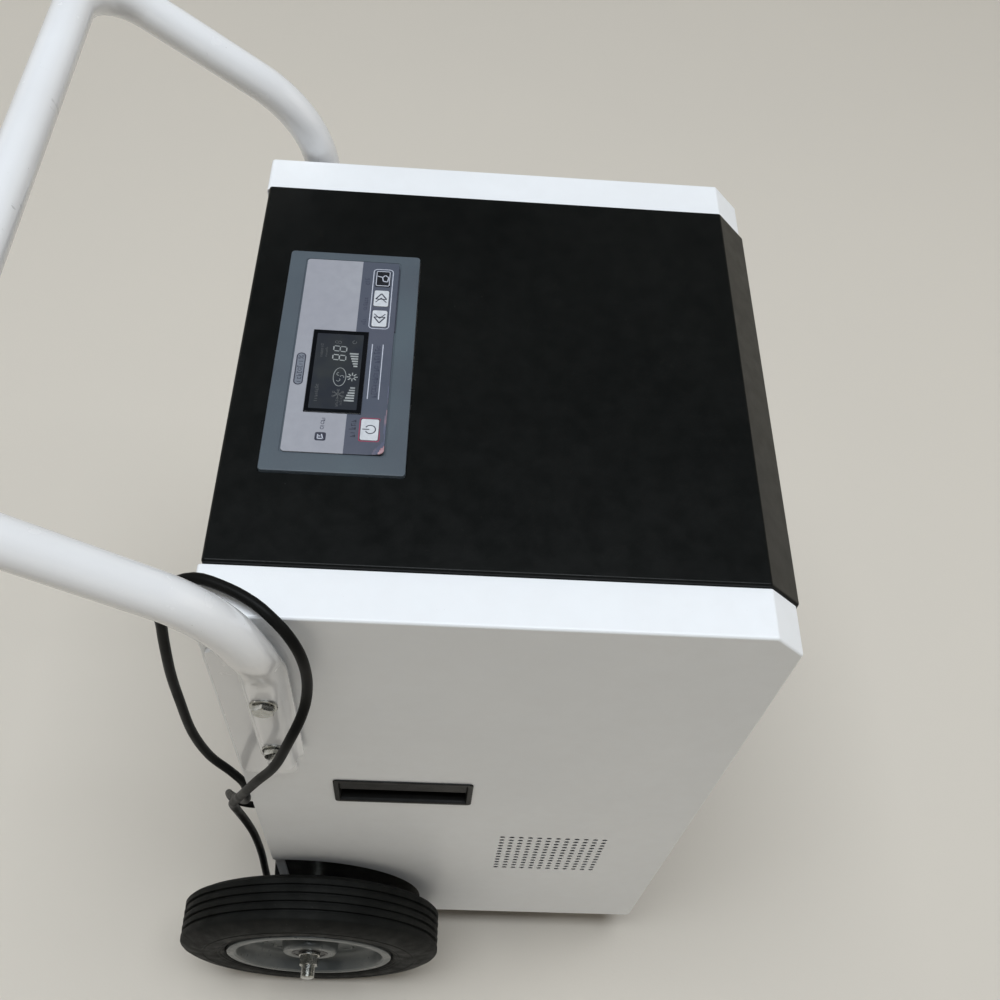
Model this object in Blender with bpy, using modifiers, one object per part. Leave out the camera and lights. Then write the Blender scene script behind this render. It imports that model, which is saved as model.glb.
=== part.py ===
"""A commercial dehumidifier on two rubber-tyred wheels and two swivel casters, with a bent-tube push handle.

Metres. +Z is up, +Y points to the push handle at the rear, and +X is the machine's right side.
Every length below is measured from the middle of the cabinet's footprint. An empty carries all the parts,
and shifts them so that the origin is on the floor, under the middle of the whole machine, handle included.
"""

import math

import bmesh
import bpy
from mathutils import Matrix, Vector

# Cabinet
WIDTH = 0.480
DEPTH = 0.444
FLOOR_GAP = 0.075
TOP = 0.8756
CHAMFER = 0.025
STRIP = 0.0416  # width of the side panels' folded edges
SHEET = 0.0015
GAP = 0.0003
HALF_W = WIDTH / 2
HALF_D = DEPTH / 2
CENTRE_SHIFT = -0.07375

# Black covers between the folded edges
COVER_HALF_W = HALF_W - STRIP - 0.0004
COVER_TOP = TOP + 0.004
COVER_FRONT = -HALF_D - 0.0025
COVER_BACK = 0.219
BASE_TOP = 0.110

# Control panel
BEZEL_X = (-0.119, 0.114)
BEZEL_Y = (0.0775, 0.189)
OVERLAY_X = (-0.1012, 0.1040)
OVERLAY_Y = (0.095, 0.1738)
WINDOW_X = (-0.0630, 0.0233)
WINDOW_Y = (0.1153, 0.1606)
BEZEL_GAP = 0.0005  # between the bezel and the opening that it stands in
BEZEL_FLANGE = 0.008  # how far its flange reaches under the cover
BEZEL_TOP = COVER_TOP + 0.0033
OVERLAY_TOP = BEZEL_TOP + 0.0008
KEYS = {  # name: centre x, centre y, size along x, size along y
    "key_power": (-0.0774, 0.1075, 0.0205, 0.0140),
    "key_down": (0.0388, 0.1080, 0.0180, 0.0125),
    "key_up": (0.0616, 0.1080, 0.0180, 0.0125),
    "key_timer": (0.0844, 0.1080, 0.0180, 0.0125),
}
KEY_PROUD = 0.0006

# Air openings
INTAKE_HALF_W, INTAKE_Z, INTAKE_Y = 0.165, (0.360, 0.800), (-0.2275, -0.2065)
OUTLET_HALF_W, OUTLET_Z, OUTLET_Y = 0.150, (0.450, 0.750), (0.2060, 0.2225)

# Flush lifting grips in the side panels
GRIP_Y = (0.006, 0.139)
GRIP_Z = (0.4955, 0.553)
GRIP_DEPTH = 0.035

# Push handle
TUBE_R = 0.016
TUBE_WALL = 0.002
ARM_X = 0.2607
ARM_Y = 0.177
ARM_END_Z = 0.635
ARM_BEND_Z = 0.839
ARM_BEND_R = 0.130
ARM_SLOPE = math.radians(36)
CROSSBAR_Y = 0.359
CORNER_R = 0.055
PRESSED_THICKNESS = 0.018
PRESSED_WIDTH = 0.038
PRESSED_TOP_Z = 0.800
BOLT_Z = {"upper": 0.774, "lower": 0.683}
BRACKET_Y = (0.168, 0.2185)
PRESSED_BLEND_Z = 0.875
BOLT_HOLE_R = 0.0053

# Wheels
WHEEL_R = 0.1525
WHEEL_X = 0.2873
WHEEL_Y = 0.181
AXLE_R = 0.010
AXLE_END_X = 0.342
ARCH_R, ARCH_Y, ARCH_Z = 0.143, 0.196, 0.139
CASTER_X, CASTER_Y, CASTER_R, CASTER_TRAIL = 0.180, -0.165, 0.0245, 0.020

# Fan, in a vertical plane behind the heat exchangers
FAN_Z = 0.600
FAN_R = 0.130
SHROUD_Y = (0.0700, 0.0715)

# Mains cord
CORD_D = 0.0085
GLAND_X, GLAND_Z = -0.130, 0.135
COIL_CENTRE = (0.070, 0.290)
COIL_R = 0.0425
COIL_OUTER_R = COIL_R + CORD_D
PLUG_X, PLUG_R = 0.1073, 0.0185
DRAIN_X, DRAIN_Z, DRAIN_R = 0.120, 0.190, 0.008

# The cord from its gland, up behind the cabinet, over its corner and down outside the handle's left arm,
# once around its own rising run, then down the rear edge and along the floor to the coil.
CORD_ROUTE = [
    (-0.1300, 0.2528, 0.1350),
    (-0.1300, 0.2610, 0.1350),
    (-0.1308, 0.2762, 0.1378),
    (-0.1314, 0.2882, 0.1458),
    (-0.1318, 0.2962, 0.1578),
    (-0.1320, 0.2990, 0.1720),
    (-0.1400, 0.2945, 0.2090),
    (-0.1560, 0.2840, 0.2500),
    (-0.1760, 0.2690, 0.2990),
    (-0.1960, 0.2530, 0.3520),
    (-0.2120, 0.2405, 0.4020),
    (-0.2230, 0.2330, 0.4500),
    (-0.2280, 0.2293, 0.4985),
    (-0.2280, 0.2377, 0.5309),
    (-0.2270, 0.2527, 0.5697),
    (-0.2260, 0.2603, 0.6245),
    (-0.2250, 0.2603, 0.6935),
    (-0.2240, 0.2591, 0.7427),
    (-0.2225, 0.2553, 0.7944),
    (-0.2210, 0.2525, 0.8254),
    (-0.2185, 0.2525, 0.8500),
    (-0.2165, 0.2420, 0.8715),
    (-0.2155, 0.2198, 0.8845),
    (-0.2238, 0.1954, 0.8870),
    (-0.2335, 0.1763, 0.8860),
    (-0.2424, 0.1636, 0.8826),
    (-0.2493, 0.1520, 0.8690),
    (-0.2534, 0.1445, 0.8450),
    (-0.2544, 0.1425, 0.8120),
    (-0.2575, 0.1443, 0.7832),
    (-0.2650, 0.1488, 0.7632),
    (-0.2745, 0.1590, 0.7370),
    (-0.2785, 0.1750, 0.6889),
    (-0.2755, 0.1946, 0.6429),
    (-0.2660, 0.2157, 0.5799),
    (-0.2545, 0.2320, 0.5230),
    (-0.2450, 0.2392, 0.4850),
    (-0.2372, 0.2405, 0.4400),
    (-0.2330, 0.2380, 0.3900),
    (-0.2312, 0.2358, 0.3400),
    (-0.2306, 0.2360, 0.2700),
    (-0.2308, 0.2388, 0.2000),
    (-0.2308, 0.2408, 0.1400),
    (-0.2304, 0.2418, 0.0900),
    (-0.2272, 0.2424, 0.0331),
    (-0.2188, 0.2435, 0.0190),
    (-0.2043, 0.2456, 0.0085),
    (-0.1868, 0.2480, 0.0048),
    (-0.1600, 0.2500, 0.0048),
    (-0.1250, 0.2540, 0.0048),
    (-0.0920, 0.2640, 0.0048),
    (-0.0620, 0.2790, 0.0048),
    (-0.0330, 0.2960, 0.0048),
    (-0.0040, 0.3125, 0.0048),
    (0.0220, 0.3255, 0.0048),
]
CORD_POINTS = 100

# Finishes: base colour, roughness, metallic
WHITE_PAINT = ((0.80, 0.81, 0.83), 0.35, 0.0)
GLOSS_WHITE = ((0.82, 0.83, 0.84), 0.18, 0.0)
BLACK_PAINT = ((0.012, 0.013, 0.014), 0.38, 0.0)
BLACK_PLASTIC = ((0.015, 0.015, 0.016), 0.50, 0.0)
SLATE_PLASTIC = ((0.13, 0.16, 0.19), 0.45, 0.0)
FILM = ((0.40, 0.40, 0.44), 0.35, 0.0)
DARK_GLASS = ((0.01, 0.012, 0.02), 0.08, 0.0)
RUBBER = ((0.018, 0.018, 0.018), 0.75, 0.0)
GREY_PAINT = ((0.20, 0.21, 0.21), 0.35, 0.0)
ZINC = ((0.55, 0.55, 0.53), 0.30, 1.0)
STEEL = ((0.35, 0.35, 0.35), 0.40, 1.0)
ALUMINIUM = ((0.60, 0.60, 0.60), 0.45, 1.0)
COPPER = ((0.65, 0.32, 0.18), 0.30, 1.0)
GREEN_BOARD = ((0.02, 0.16, 0.06), 0.50, 0.0)
PVC = ((0.010, 0.010, 0.010), 0.25, 0.0)

AXIS_TURN = {  # what turns an upright shape's Z to the named direction
    "+X": Matrix.Rotation(math.radians(90), 4, "Y"),
    "-X": Matrix.Rotation(math.radians(-90), 4, "Y"),
    "+Y": Matrix.Rotation(math.radians(-90), 4, "X"),
    "+Z": Matrix.Identity(4),
}
SIDES = {"left": -1, "right": 1}

for old in list(bpy.data.objects):
    bpy.data.objects.remove(old, do_unlink=True)
PARTS = bpy.data.collections.new("dehumidifier")
CUTTERS = bpy.data.collections.new("cutters")
bpy.context.scene.collection.children.link(PARTS)
bpy.context.scene.collection.children.link(CUTTERS)
MACHINE = bpy.data.objects.new("machine", None)
MACHINE.location.y = CENTRE_SHIFT
PARTS.objects.link(MACHINE)


# Tools


def add(name, data, finish=None, at=(0, 0, 0), turn="+Z"):
    """An object under the machine's empty: a part where it has a finish, and otherwise a cutter."""
    obj = bpy.data.objects.new(name, data)
    (PARTS if finish else CUTTERS).objects.link(obj)
    obj.parent = MACHINE
    obj.matrix_local = Matrix.Translation(at) @ AXIS_TURN[turn]
    if finish:
        colour, roughness, metallic = finish
        material = bpy.data.materials.new(name)
        material.use_nodes = True
        surface = material.node_tree.nodes["Principled BSDF"]
        surface.inputs["Base Color"].default_value = (*colour, 1)
        surface.inputs["Roughness"].default_value = roughness
        surface.inputs["Metallic"].default_value = metallic
        data.materials.append(material)
    else:
        obj.hide_render = True
        obj.display_type = "WIRE"
    return obj


def box(name, lo, hi, finish=None):
    """A box from its lowest to its highest corner."""
    lo, hi = Vector(lo), Vector(hi)
    bm = bmesh.new()
    bmesh.ops.create_cube(bm, size=1)
    bmesh.ops.scale(bm, vec=hi - lo, verts=bm.verts)
    mesh = bpy.data.meshes.new(name)
    bm.to_mesh(mesh)
    bm.free()
    return add(name, mesh, finish, (lo + hi) / 2)


def cylinder(name, radius, ends, at, turn, finish=None, sides=24, across_flats=False):
    """A cylinder, or a hexagon bar, along the turned Z, between two distances from at."""
    bm = bmesh.new()
    corner = radius / math.cos(math.pi / sides) if across_flats else radius
    bmesh.ops.create_cone(
        bm, cap_ends=True, segments=sides, radius1=corner, radius2=corner, depth=ends[1] - ends[0]
    )
    bmesh.ops.translate(bm, vec=(0, 0, sum(ends) / 2), verts=bm.verts)
    mesh = bpy.data.meshes.new(name)
    bm.to_mesh(mesh)
    bm.free()
    return add(name, mesh, finish, at, turn)


def turned(name, profile, at, turn, finish, closed, steps=32):
    """A turned solid. The profile is (radius, height) down its outer side; a closed one is a ring."""
    mesh = bpy.data.meshes.new(name)
    count = len(profile)
    edges = [(i, (i + 1) % count) for i in range(count if closed else count - 1)]
    mesh.from_pydata([(r, 0, z) for r, z in profile], edges, [])
    obj = add(name, mesh, finish, at, turn)
    screw = obj.modifiers.new("turn", "SCREW")
    screw.steps = screw.render_steps = steps
    screw.use_merge_vertices = True
    screw.merge_threshold = 0.00001
    screw.use_smooth_shade = True
    return obj


def mesh_of(obj):
    """The mesh that a curve object makes, with its caps welded; the curve object is removed."""
    bpy.context.view_layer.update()
    mesh = bpy.data.meshes.new_from_object(obj.evaluated_get(bpy.context.evaluated_depsgraph_get()))
    bm = bmesh.new()
    bm.from_mesh(mesh)
    bmesh.ops.remove_doubles(bm, verts=bm.verts, dist=0.00001)
    bmesh.ops.recalc_face_normals(bm, faces=bm.faces)
    bm.to_mesh(mesh)
    bm.free()
    bpy.data.objects.remove(obj, do_unlink=True)
    return mesh


def prism(name, outline, x_range, finish=None):
    """An outline of (y, z) points, extruded along X."""
    curve = bpy.data.curves.new(name, "CURVE")
    curve.dimensions = "2D"
    curve.fill_mode = "BOTH"
    curve.extrude = abs(x_range[1] - x_range[0]) / 2
    spline = curve.splines.new("POLY")
    spline.points.add(len(outline) - 1)
    for point, (y, z) in zip(spline.points, outline):
        point.co = (y, z, 0, 1)
    spline.use_cyclic_u = True
    mesh = mesh_of(add(name + "_outline", curve))
    mesh.transform(Matrix(((0, 0, 1, 0), (1, 0, 0, 0), (0, 1, 0, 0), (0, 0, 0, 1))))
    return add(name, mesh, finish, (sum(x_range) / 2, 0, 0))


def tube(name, points, radius, finish, resolution=2):
    """A solid round bar along points."""
    curve = bpy.data.curves.new(name, "CURVE")
    curve.dimensions = "3D"
    curve.bevel_depth = radius
    curve.bevel_resolution = resolution
    curve.use_fill_caps = True
    spline = curve.splines.new("POLY")
    spline.points.add(len(points) - 1)
    for point, place in zip(spline.points, points):
        point.co = (*place, 1)
    return add(name, curve, finish)


def combine(obj, operation, others):
    for other in others:
        boolean = obj.modifiers.new(other.name, "BOOLEAN")
        boolean.operation = operation
        boolean.object = other
    return obj


def cut(obj, *others):
    return combine(obj, "DIFFERENCE", others)


def join(obj, *others):
    return combine(obj, "UNION", others)


def rounded(obj, width, segments=2):
    bevel = obj.modifiers.new("rounded", "BEVEL")
    bevel.width = width
    bevel.segments = segments
    bevel.limit_method = "ANGLE"
    bevel.angle_limit = math.radians(40)
    return obj


def smooth_curve(route, count):
    """Evenly spaced points on a smooth curve through the route's points."""
    route = [Vector(p) for p in route]
    route = [2 * route[0] - route[1], *route, 2 * route[-1] - route[-2]]
    fine = []
    for p0, p1, p2, p3 in zip(route, route[1:], route[2:], route[3:]):
        for step in range(12):
            t = step / 12
            fine.append(
                0.5
                * (
                    2 * p1
                    + (p2 - p0) * t
                    + (2 * p0 - 5 * p1 + 4 * p2 - p3) * t**2
                    + (3 * p1 - p0 - 3 * p2 + p3) * t**3
                )
            )
    fine.append(route[-2])
    along = [0.0]
    for a, b in zip(fine, fine[1:]):
        along.append(along[-1] + (b - a).length)
    points, i = [], 0
    for n in range(count):
        want = along[-1] * n / (count - 1)
        while i < len(along) - 2 and along[i + 1] < want:
            i += 1
        part = (want - along[i]) / (along[i + 1] - along[i])
        points.append(fine[i].lerp(fine[i + 1], min(part, 1)))
    return points


def span(value, side):
    """A range of X mirrored to a side, lowest first."""
    return sorted((side * value[0], side * value[1]))


# Cabinet


def base_chassis():
    outer = box("base_chassis", (-0.238, -0.220, FLOOR_GAP + 0.0005), (0.238, 0.220, BASE_TOP), BLACK_PAINT)
    cut(outer, box("base_hollow", (-0.236, -0.218, FLOOR_GAP + 0.0025), (0.236, 0.218, BASE_TOP + 0.01)))


def side_outline(inset, bottom):
    """The cabinet's side as (y, z), moved in by a sheet thickness, with its top front corner cut off."""
    back, front, top = HALF_D - inset, -HALF_D + inset, TOP - inset
    corner = CHAMFER - inset * (2 - math.sqrt(2))
    return [(back, bottom), (back, top), (front + corner, top), (front, top - corner), (front, bottom)]


def side_panel(name, side):
    """A folded sheet: the side, and edges that turn in along the back, top, chamfer and front."""
    panel = prism(
        f"{name}_side_panel", side_outline(0, FLOOR_GAP), span((HALF_W - STRIP, HALF_W), side), WHITE_PAINT
    )
    hollow = prism(
        f"{name}_panel_hollow",
        side_outline(SHEET, FLOOR_GAP - 0.02),
        span((HALF_W - STRIP - 0.02, HALF_W - SHEET), side),
    )
    arch = cylinder(
        f"{name}_arch", ARCH_R, (-0.03, 0.03), (side * (HALF_W - 0.02), ARCH_Y, ARCH_Z), "+X", sides=64
    )
    opening = box(
        f"{name}_grip_opening",
        (side * HALF_W - 0.01, GRIP_Y[0] + 0.0035, GRIP_Z[0] + 0.0035),
        (side * HALF_W + 0.01, GRIP_Y[1] - 0.0035, GRIP_Z[1] - 0.0035),
    )
    cut(panel, hollow, arch, opening, *bolt_holes(f"{name}_panel", side))


def bolt_holes(name, side):
    return [
        cylinder(f"{name}_hole_{row}", BOLT_HOLE_R, (-0.045, 0.045), (side * HALF_W, ARM_Y, z), "+X", sides=12)
        for row, z in BOLT_Z.items()
    ]


def top_cover():
    """A black pan, a little proud of the white edges, that folds down over the chamfer to a short front lip."""
    slope = COVER_TOP - CHAMFER - 0.0035
    outline = [
        (COVER_BACK, TOP - 0.0136),
        (COVER_BACK, COVER_TOP),
        (COVER_FRONT + CHAMFER + 0.0035, COVER_TOP),
        (COVER_FRONT, slope),
        (COVER_FRONT, slope - 0.009),
        (COVER_FRONT + 0.016, slope - 0.009),
        (COVER_FRONT + 0.036, TOP - 0.0136),
    ]
    inner = [
        (COVER_BACK - SHEET, TOP - 0.08),
        (COVER_BACK - SHEET, COVER_TOP - SHEET),
        (COVER_FRONT + CHAMFER + 0.0041, COVER_TOP - SHEET),
        (COVER_FRONT + SHEET, slope - 0.0009),
        (COVER_FRONT + SHEET, TOP - 0.08),
    ]
    cover = prism("top_cover", outline, (-COVER_HALF_W, COVER_HALF_W), BLACK_PAINT)
    hollow = prism("cover_hollow", inner, (-COVER_HALF_W + SHEET, COVER_HALF_W - SHEET))
    opening = box(
        "control_opening",
        (BEZEL_X[0] - BEZEL_GAP, BEZEL_Y[0] - BEZEL_GAP, COVER_TOP - 0.01),
        (BEZEL_X[1] + BEZEL_GAP, BEZEL_Y[1] + BEZEL_GAP, COVER_TOP + 0.01),
    )
    cut(cover, hollow, opening)


def front_panel():
    bottom, top = BASE_TOP + 0.0005, COVER_TOP - CHAMFER - 0.013
    back = COVER_FRONT + 0.020
    panel = box("front_panel", (-COVER_HALF_W, COVER_FRONT, bottom), (COVER_HALF_W, back, top), BLACK_PLASTIC)
    inner = COVER_HALF_W - SHEET
    hollow = box(
        "front_hollow", (-inner, COVER_FRONT + SHEET, bottom + SHEET), (inner, back + 0.01, top - SHEET)
    )
    edge = INTAKE_HALF_W + 0.0005
    opening = box(
        "intake_opening",
        (-edge, COVER_FRONT - 0.01, INTAKE_Z[0] - 0.0005),
        (edge, COVER_FRONT + 0.01, INTAKE_Z[1] + 0.0005),
    )
    cut(panel, hollow, opening)


def rear_panel():
    """A folded pan behind the side panels' rear edges, which shows in the wheel arches."""
    bottom, top, back = BASE_TOP + 0.0005, TOP - 0.0141, 0.2202
    panel = box("rear_panel", (-0.2375, back - 0.0107, bottom), (0.2375, back, top), WHITE_PAINT)
    hollow = box("rear_hollow", (-0.2363, back - 0.02, bottom + 0.0012), (0.2363, back - SHEET, top - 0.0012))
    edge = OUTLET_HALF_W + 0.0005
    opening = box(
        "outlet_opening", (-edge, back - 0.01, OUTLET_Z[0] - 0.0005), (edge, back + 0.01, OUTLET_Z[1] + 0.0005)
    )
    drain = cylinder("drain_hole", DRAIN_R + 0.0007, (-0.01, 0.01), (DRAIN_X, back, DRAIN_Z), "+Y", sides=16)
    gland = cylinder("gland_hole", 0.0075, (-0.01, 0.01), (GLAND_X, back, GLAND_Z), "+Y", sides=16)
    cut(panel, hollow, opening, drain, gland)


def grille(name, half_width, z_range, y_range, face, slats):
    """A rectangular frame with tilted slats across it. face is the side, -1 or 1, that faces outwards."""
    border = 0.0115
    frame = box(
        name, (-half_width, y_range[0], z_range[0]), (half_width, y_range[1], z_range[1]), BLACK_PLASTIC
    )
    inner = half_width - border
    opening = box(
        f"{name}_opening",
        (-inner, y_range[0] - 0.01, z_range[0] + border),
        (inner, y_range[1] + 0.01, z_range[1] - border),
    )
    bm = bmesh.new()
    pitch = (z_range[1] - z_range[0] - 2 * border) / (slats + 1)
    outer_y = y_range[0] if face < 0 else y_range[1]
    for row in range(slats):
        slat = bmesh.ops.create_cube(bm, size=1)["verts"]
        bmesh.ops.scale(bm, vec=(2 * inner + 0.004, 0.0105, 0.0018), verts=slat)
        bmesh.ops.rotate(bm, matrix=Matrix.Rotation(math.radians(-35 * face), 3, "X"), verts=slat)
        height = z_range[0] + border + pitch * (row + 1)
        bmesh.ops.translate(bm, vec=(0, outer_y - face * 0.0062, height), verts=slat)
    mesh = bpy.data.meshes.new(f"{name}_slats")
    bm.to_mesh(mesh)
    bm.free()
    join(cut(frame, opening), add(f"{name}_slats", mesh))


def air_filter():
    inner = INTAKE_HALF_W - 0.012
    box("air_filter", (-inner, -0.2125, INTAKE_Z[0] + 0.012), (inner, -0.2070, INTAKE_Z[1] - 0.012), BLACK_PLASTIC)


def recess_grip(name, side):
    """A flush lifting grip: a rim on the panel, and a pocket that opens below a gripping plate."""
    rim = box(
        f"{name}_recess_grip",
        (span((HALF_W + GAP, HALF_W + 0.0018), side)[0], GRIP_Y[0], GRIP_Z[0]),
        (span((HALF_W + GAP, HALF_W + 0.0018), side)[1], GRIP_Y[1], GRIP_Z[1]),
        BLACK_PLASTIC,
    )
    wall, gap = 0.002, 0.004
    y_range, z_range = (GRIP_Y[0] + gap, GRIP_Y[1] - gap), (GRIP_Z[0] + gap, GRIP_Z[1] - gap)
    deep = HALF_W - GRIP_DEPTH
    x_body = span((deep, HALF_W + 0.0010), side)
    body = box(f"{name}_grip_body", (x_body[0], y_range[0], z_range[0]), (x_body[1], y_range[1], z_range[1]))
    x_pocket = span((deep + wall, HALF_W - 0.0015), side)
    pocket = box(
        f"{name}_grip_pocket",
        (x_pocket[0], y_range[0] + wall, z_range[0] + wall),
        (x_pocket[1], y_range[1] - wall, z_range[1] - wall),
    )
    x_mouth = span((HALF_W - 0.010, HALF_W + 0.010), side)
    mouth = box(
        f"{name}_grip_mouth",
        (x_mouth[0], y_range[0] + wall, z_range[0] + wall),
        (x_mouth[1], y_range[1] - wall, z_range[0] + 0.024),
    )
    cut(join(rim, body), pocket, mouth)


# Control panel


def control_panel():
    """A bezel that stands up through the cover on a hidden flange, its printed overlay, keys and display."""
    flange_top = COVER_TOP - SHEET - GAP
    bezel = box(
        "control_bezel",
        (BEZEL_X[0], BEZEL_Y[0], flange_top - 0.001),
        (BEZEL_X[1], BEZEL_Y[1], BEZEL_TOP),
        SLATE_PLASTIC,
    )
    flange = box(
        "bezel_flange",
        (BEZEL_X[0] - BEZEL_FLANGE, BEZEL_Y[0] - BEZEL_FLANGE, flange_top - 0.002),
        (BEZEL_X[1] + BEZEL_FLANGE, BEZEL_Y[1] + BEZEL_FLANGE, flange_top),
    )
    skirt_lo = (BEZEL_X[0] + 0.0105, BEZEL_Y[0] + 0.0105)
    skirt_hi = (BEZEL_X[1] - 0.0105, BEZEL_Y[1] - 0.0105)
    skirt_bottom = COVER_TOP - 0.0137
    skirt = box("bezel_skirt", (*skirt_lo, skirt_bottom), (*skirt_hi, flange_top - 0.0005))
    tray = box(
        "bezel_tray",
        (skirt_lo[0] + 0.002, skirt_lo[1] + 0.002, skirt_bottom - 0.01),
        (skirt_hi[0] - 0.002, skirt_hi[1] - 0.002, BEZEL_TOP - 0.002),
    )
    overlay = box(
        "control_overlay",
        (OVERLAY_X[0], OVERLAY_Y[0], BEZEL_TOP + GAP),
        (OVERLAY_X[1], OVERLAY_Y[1], OVERLAY_TOP),
        FILM,
    )
    cut(join(bezel, flange, skirt), tray, key_holes("bezel"), display_hole("bezel", 0.0045))
    cut(overlay, key_holes("overlay"), display_hole("overlay", 0))
    box(
        "display_window",
        (WINDOW_X[0] + GAP, WINDOW_Y[0] + GAP, BEZEL_TOP + GAP),
        (WINDOW_X[1] - GAP, WINDOW_Y[1] - GAP, OVERLAY_TOP + 0.0004),
        DARK_GLASS,
    )
    module_lo = (WINDOW_X[0] + 0.005, WINDOW_Y[0] + 0.005, skirt_bottom + GAP)
    module_hi = (WINDOW_X[1] - 0.005, WINDOW_Y[1] - 0.005, BEZEL_TOP)
    box("display_module", module_lo, module_hi, DARK_GLASS)
    board_top = skirt_bottom - GAP
    box("control_board", (*skirt_lo, board_top - 0.0016), (*skirt_hi, board_top), GREEN_BOARD)
    for name, (x, y, long, wide) in KEYS.items():
        cap = box(
            name,
            (x - long / 2, y - wide / 2, BEZEL_TOP - 0.0025),
            (x + long / 2, y + wide / 2, OVERLAY_TOP + KEY_PROUD),
            FILM,
        )
        rounded(cap, 0.0004, 1)


def key_holes(name):
    """One cutter for every key, with a running gap around each."""
    bm = bmesh.new()
    for x, y, long, wide in KEYS.values():
        hole = bmesh.ops.create_cube(bm, size=1)["verts"]
        bmesh.ops.scale(bm, vec=(long + 2 * GAP, wide + 2 * GAP, 0.02), verts=hole)
        bmesh.ops.translate(bm, vec=(x, y, BEZEL_TOP), verts=hole)
    mesh = bpy.data.meshes.new(f"{name}_key_holes")
    bm.to_mesh(mesh)
    bm.free()
    return add(f"{name}_key_holes", mesh)


def display_hole(name, inset):
    return box(
        f"{name}_display_hole",
        (WINDOW_X[0] + inset, WINDOW_Y[0] + inset, BEZEL_TOP - 0.01),
        (WINDOW_X[1] - inset, WINDOW_Y[1] - inset, BEZEL_TOP + 0.01),
    )


# Push handle


def handle_stations():
    """Centre, tangent and upward normal along the left half of the handle, from its end to the middle."""
    stations = []
    for z in (ARM_END_Z, 0.72, 0.785, 0.800, 0.812, 0.824, ARM_BEND_Z):
        stations.append((Vector((-ARM_X, ARM_Y, z)), Vector((0, 0, 1)), Vector((0, -1, 0))))
    turn = math.pi / 2 - ARM_SLOPE
    for step in range(1, 8):
        angle = turn * step / 7
        centre = Vector((-ARM_X, ARM_Y + ARM_BEND_R * (1 - math.cos(angle)), ARM_BEND_Z + ARM_BEND_R * math.sin(angle)))
        tangent = Vector((0, math.sin(angle), math.cos(angle)))
        stations.append((centre, tangent, Vector((0, -math.cos(angle), math.sin(angle)))))
    start, slope, up = stations[-1]
    rise = (CROSSBAR_Y - start.y) / slope.y - CORNER_R
    for step in range(9):
        angle = math.pi / 2 * step / 8
        centre = start + slope * (rise + CORNER_R * math.sin(angle))
        centre.x += CORNER_R * (1 - math.cos(angle))
        tangent = slope * math.cos(angle) + Vector((1, 0, 0)) * math.sin(angle)
        stations.append((centre, tangent, up))
    return stations


def handle_section(centre, tangent, up, inset):
    """Twelve points around the tube, pressed flat against the panel's side near the handle's end."""
    pressed = min(max((PRESSED_BLEND_Z - centre.z) / (PRESSED_BLEND_Z - PRESSED_TOP_Z), 0), 1)
    pressed = pressed * pressed * (3 - 2 * pressed)
    half_x = TUBE_R + (PRESSED_THICKNESS / 2 - TUBE_R) * pressed
    half_up = TUBE_R + (PRESSED_WIDTH / 2 - TUBE_R) * pressed
    centre = centre + Vector((TUBE_R - half_x, 0, 0))
    across = tangent.cross(up)
    points = []
    for step in range(12):
        angle = math.tau * step / 12
        points.append(
            centre + across * (math.cos(angle) * (half_x - inset)) + up * (math.sin(angle) * (half_up - inset))
        )
    return points


def mirrored(section):
    return [Vector((-point.x, point.y, point.z)) for point in section]


def push_handle():
    """A hollow tube: one skin outside and one inside, joined by a ring at each open end."""
    bm = bmesh.new()
    skins = []
    for inset in (0, TUBE_WALL):
        half = [handle_section(*station, inset) for station in handle_stations()]
        sections = half + [mirrored(section) for section in reversed(half)]
        skins.append([[bm.verts.new(point) for point in section] for section in sections])
    for rings in skins:
        for a, b in zip(rings, rings[1:]):
            for i in range(12):
                bm.faces.new((a[i], a[(i + 1) % 12], b[(i + 1) % 12], b[i]))
    for end in (0, -1):
        outer, inner = skins[0][end], skins[1][end]
        for i in range(12):
            bm.faces.new((outer[i], outer[(i + 1) % 12], inner[(i + 1) % 12], inner[i]))
    bmesh.ops.recalc_face_normals(bm, faces=bm.faces)
    mesh = bpy.data.meshes.new("push_handle")
    bm.to_mesh(mesh)
    bm.free()
    mesh.shade_smooth()
    handle = add("push_handle", mesh, GLOSS_WHITE)
    for name, side in SIDES.items():
        cut(handle, *bolt_holes(f"{name}_arm", side))


def handle_bracket(name, side):
    """A plate between the handle's pressed end and the panel, with rounded lower corners."""
    low_y, high_y = BRACKET_Y
    bottom, top, corner = 0.575, 0.830, 0.012
    outline = [(high_y, top), (low_y, top)]
    for centre_y, start in ((low_y + corner, 180), (high_y - corner, 270)):
        for step in range(5):
            angle = math.radians(start + 22.5 * step)
            outline.append((centre_y + corner * math.cos(angle), bottom + corner + corner * math.sin(angle)))
    x_range = span((HALF_W + GAP, HALF_W + 0.0043), side)
    plate = prism(f"{name}_handle_bracket", outline, x_range, GLOSS_WHITE)
    cut(plate, *bolt_holes(f"{name}_bracket", side))


def handle_bolts(name, side):
    """A hexagon head and its washer on the pressed end, and a shank through to the cabinet's inside."""
    face = ARM_X - TUBE_R + PRESSED_THICKNESS + GAP
    turn = "+X" if side > 0 else "-X"
    for row, z in BOLT_Z.items():
        bolt, place = f"{name}_handle_bolt_{row}", (0, ARM_Y, z)
        washer = cylinder(bolt, 0.0105, (face, face + 0.0018), place, turn, ZINC)
        head = cylinder(f"{bolt}_head", 0.0083, (face + 0.0010, face + 0.0078), place, turn, None, 6, True)
        shank = cylinder(f"{bolt}_shank", 0.0050, (HALF_W - 0.012, face + 0.0050), place, turn, sides=12)
        join(washer, head, shank)


# Wheels

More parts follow.
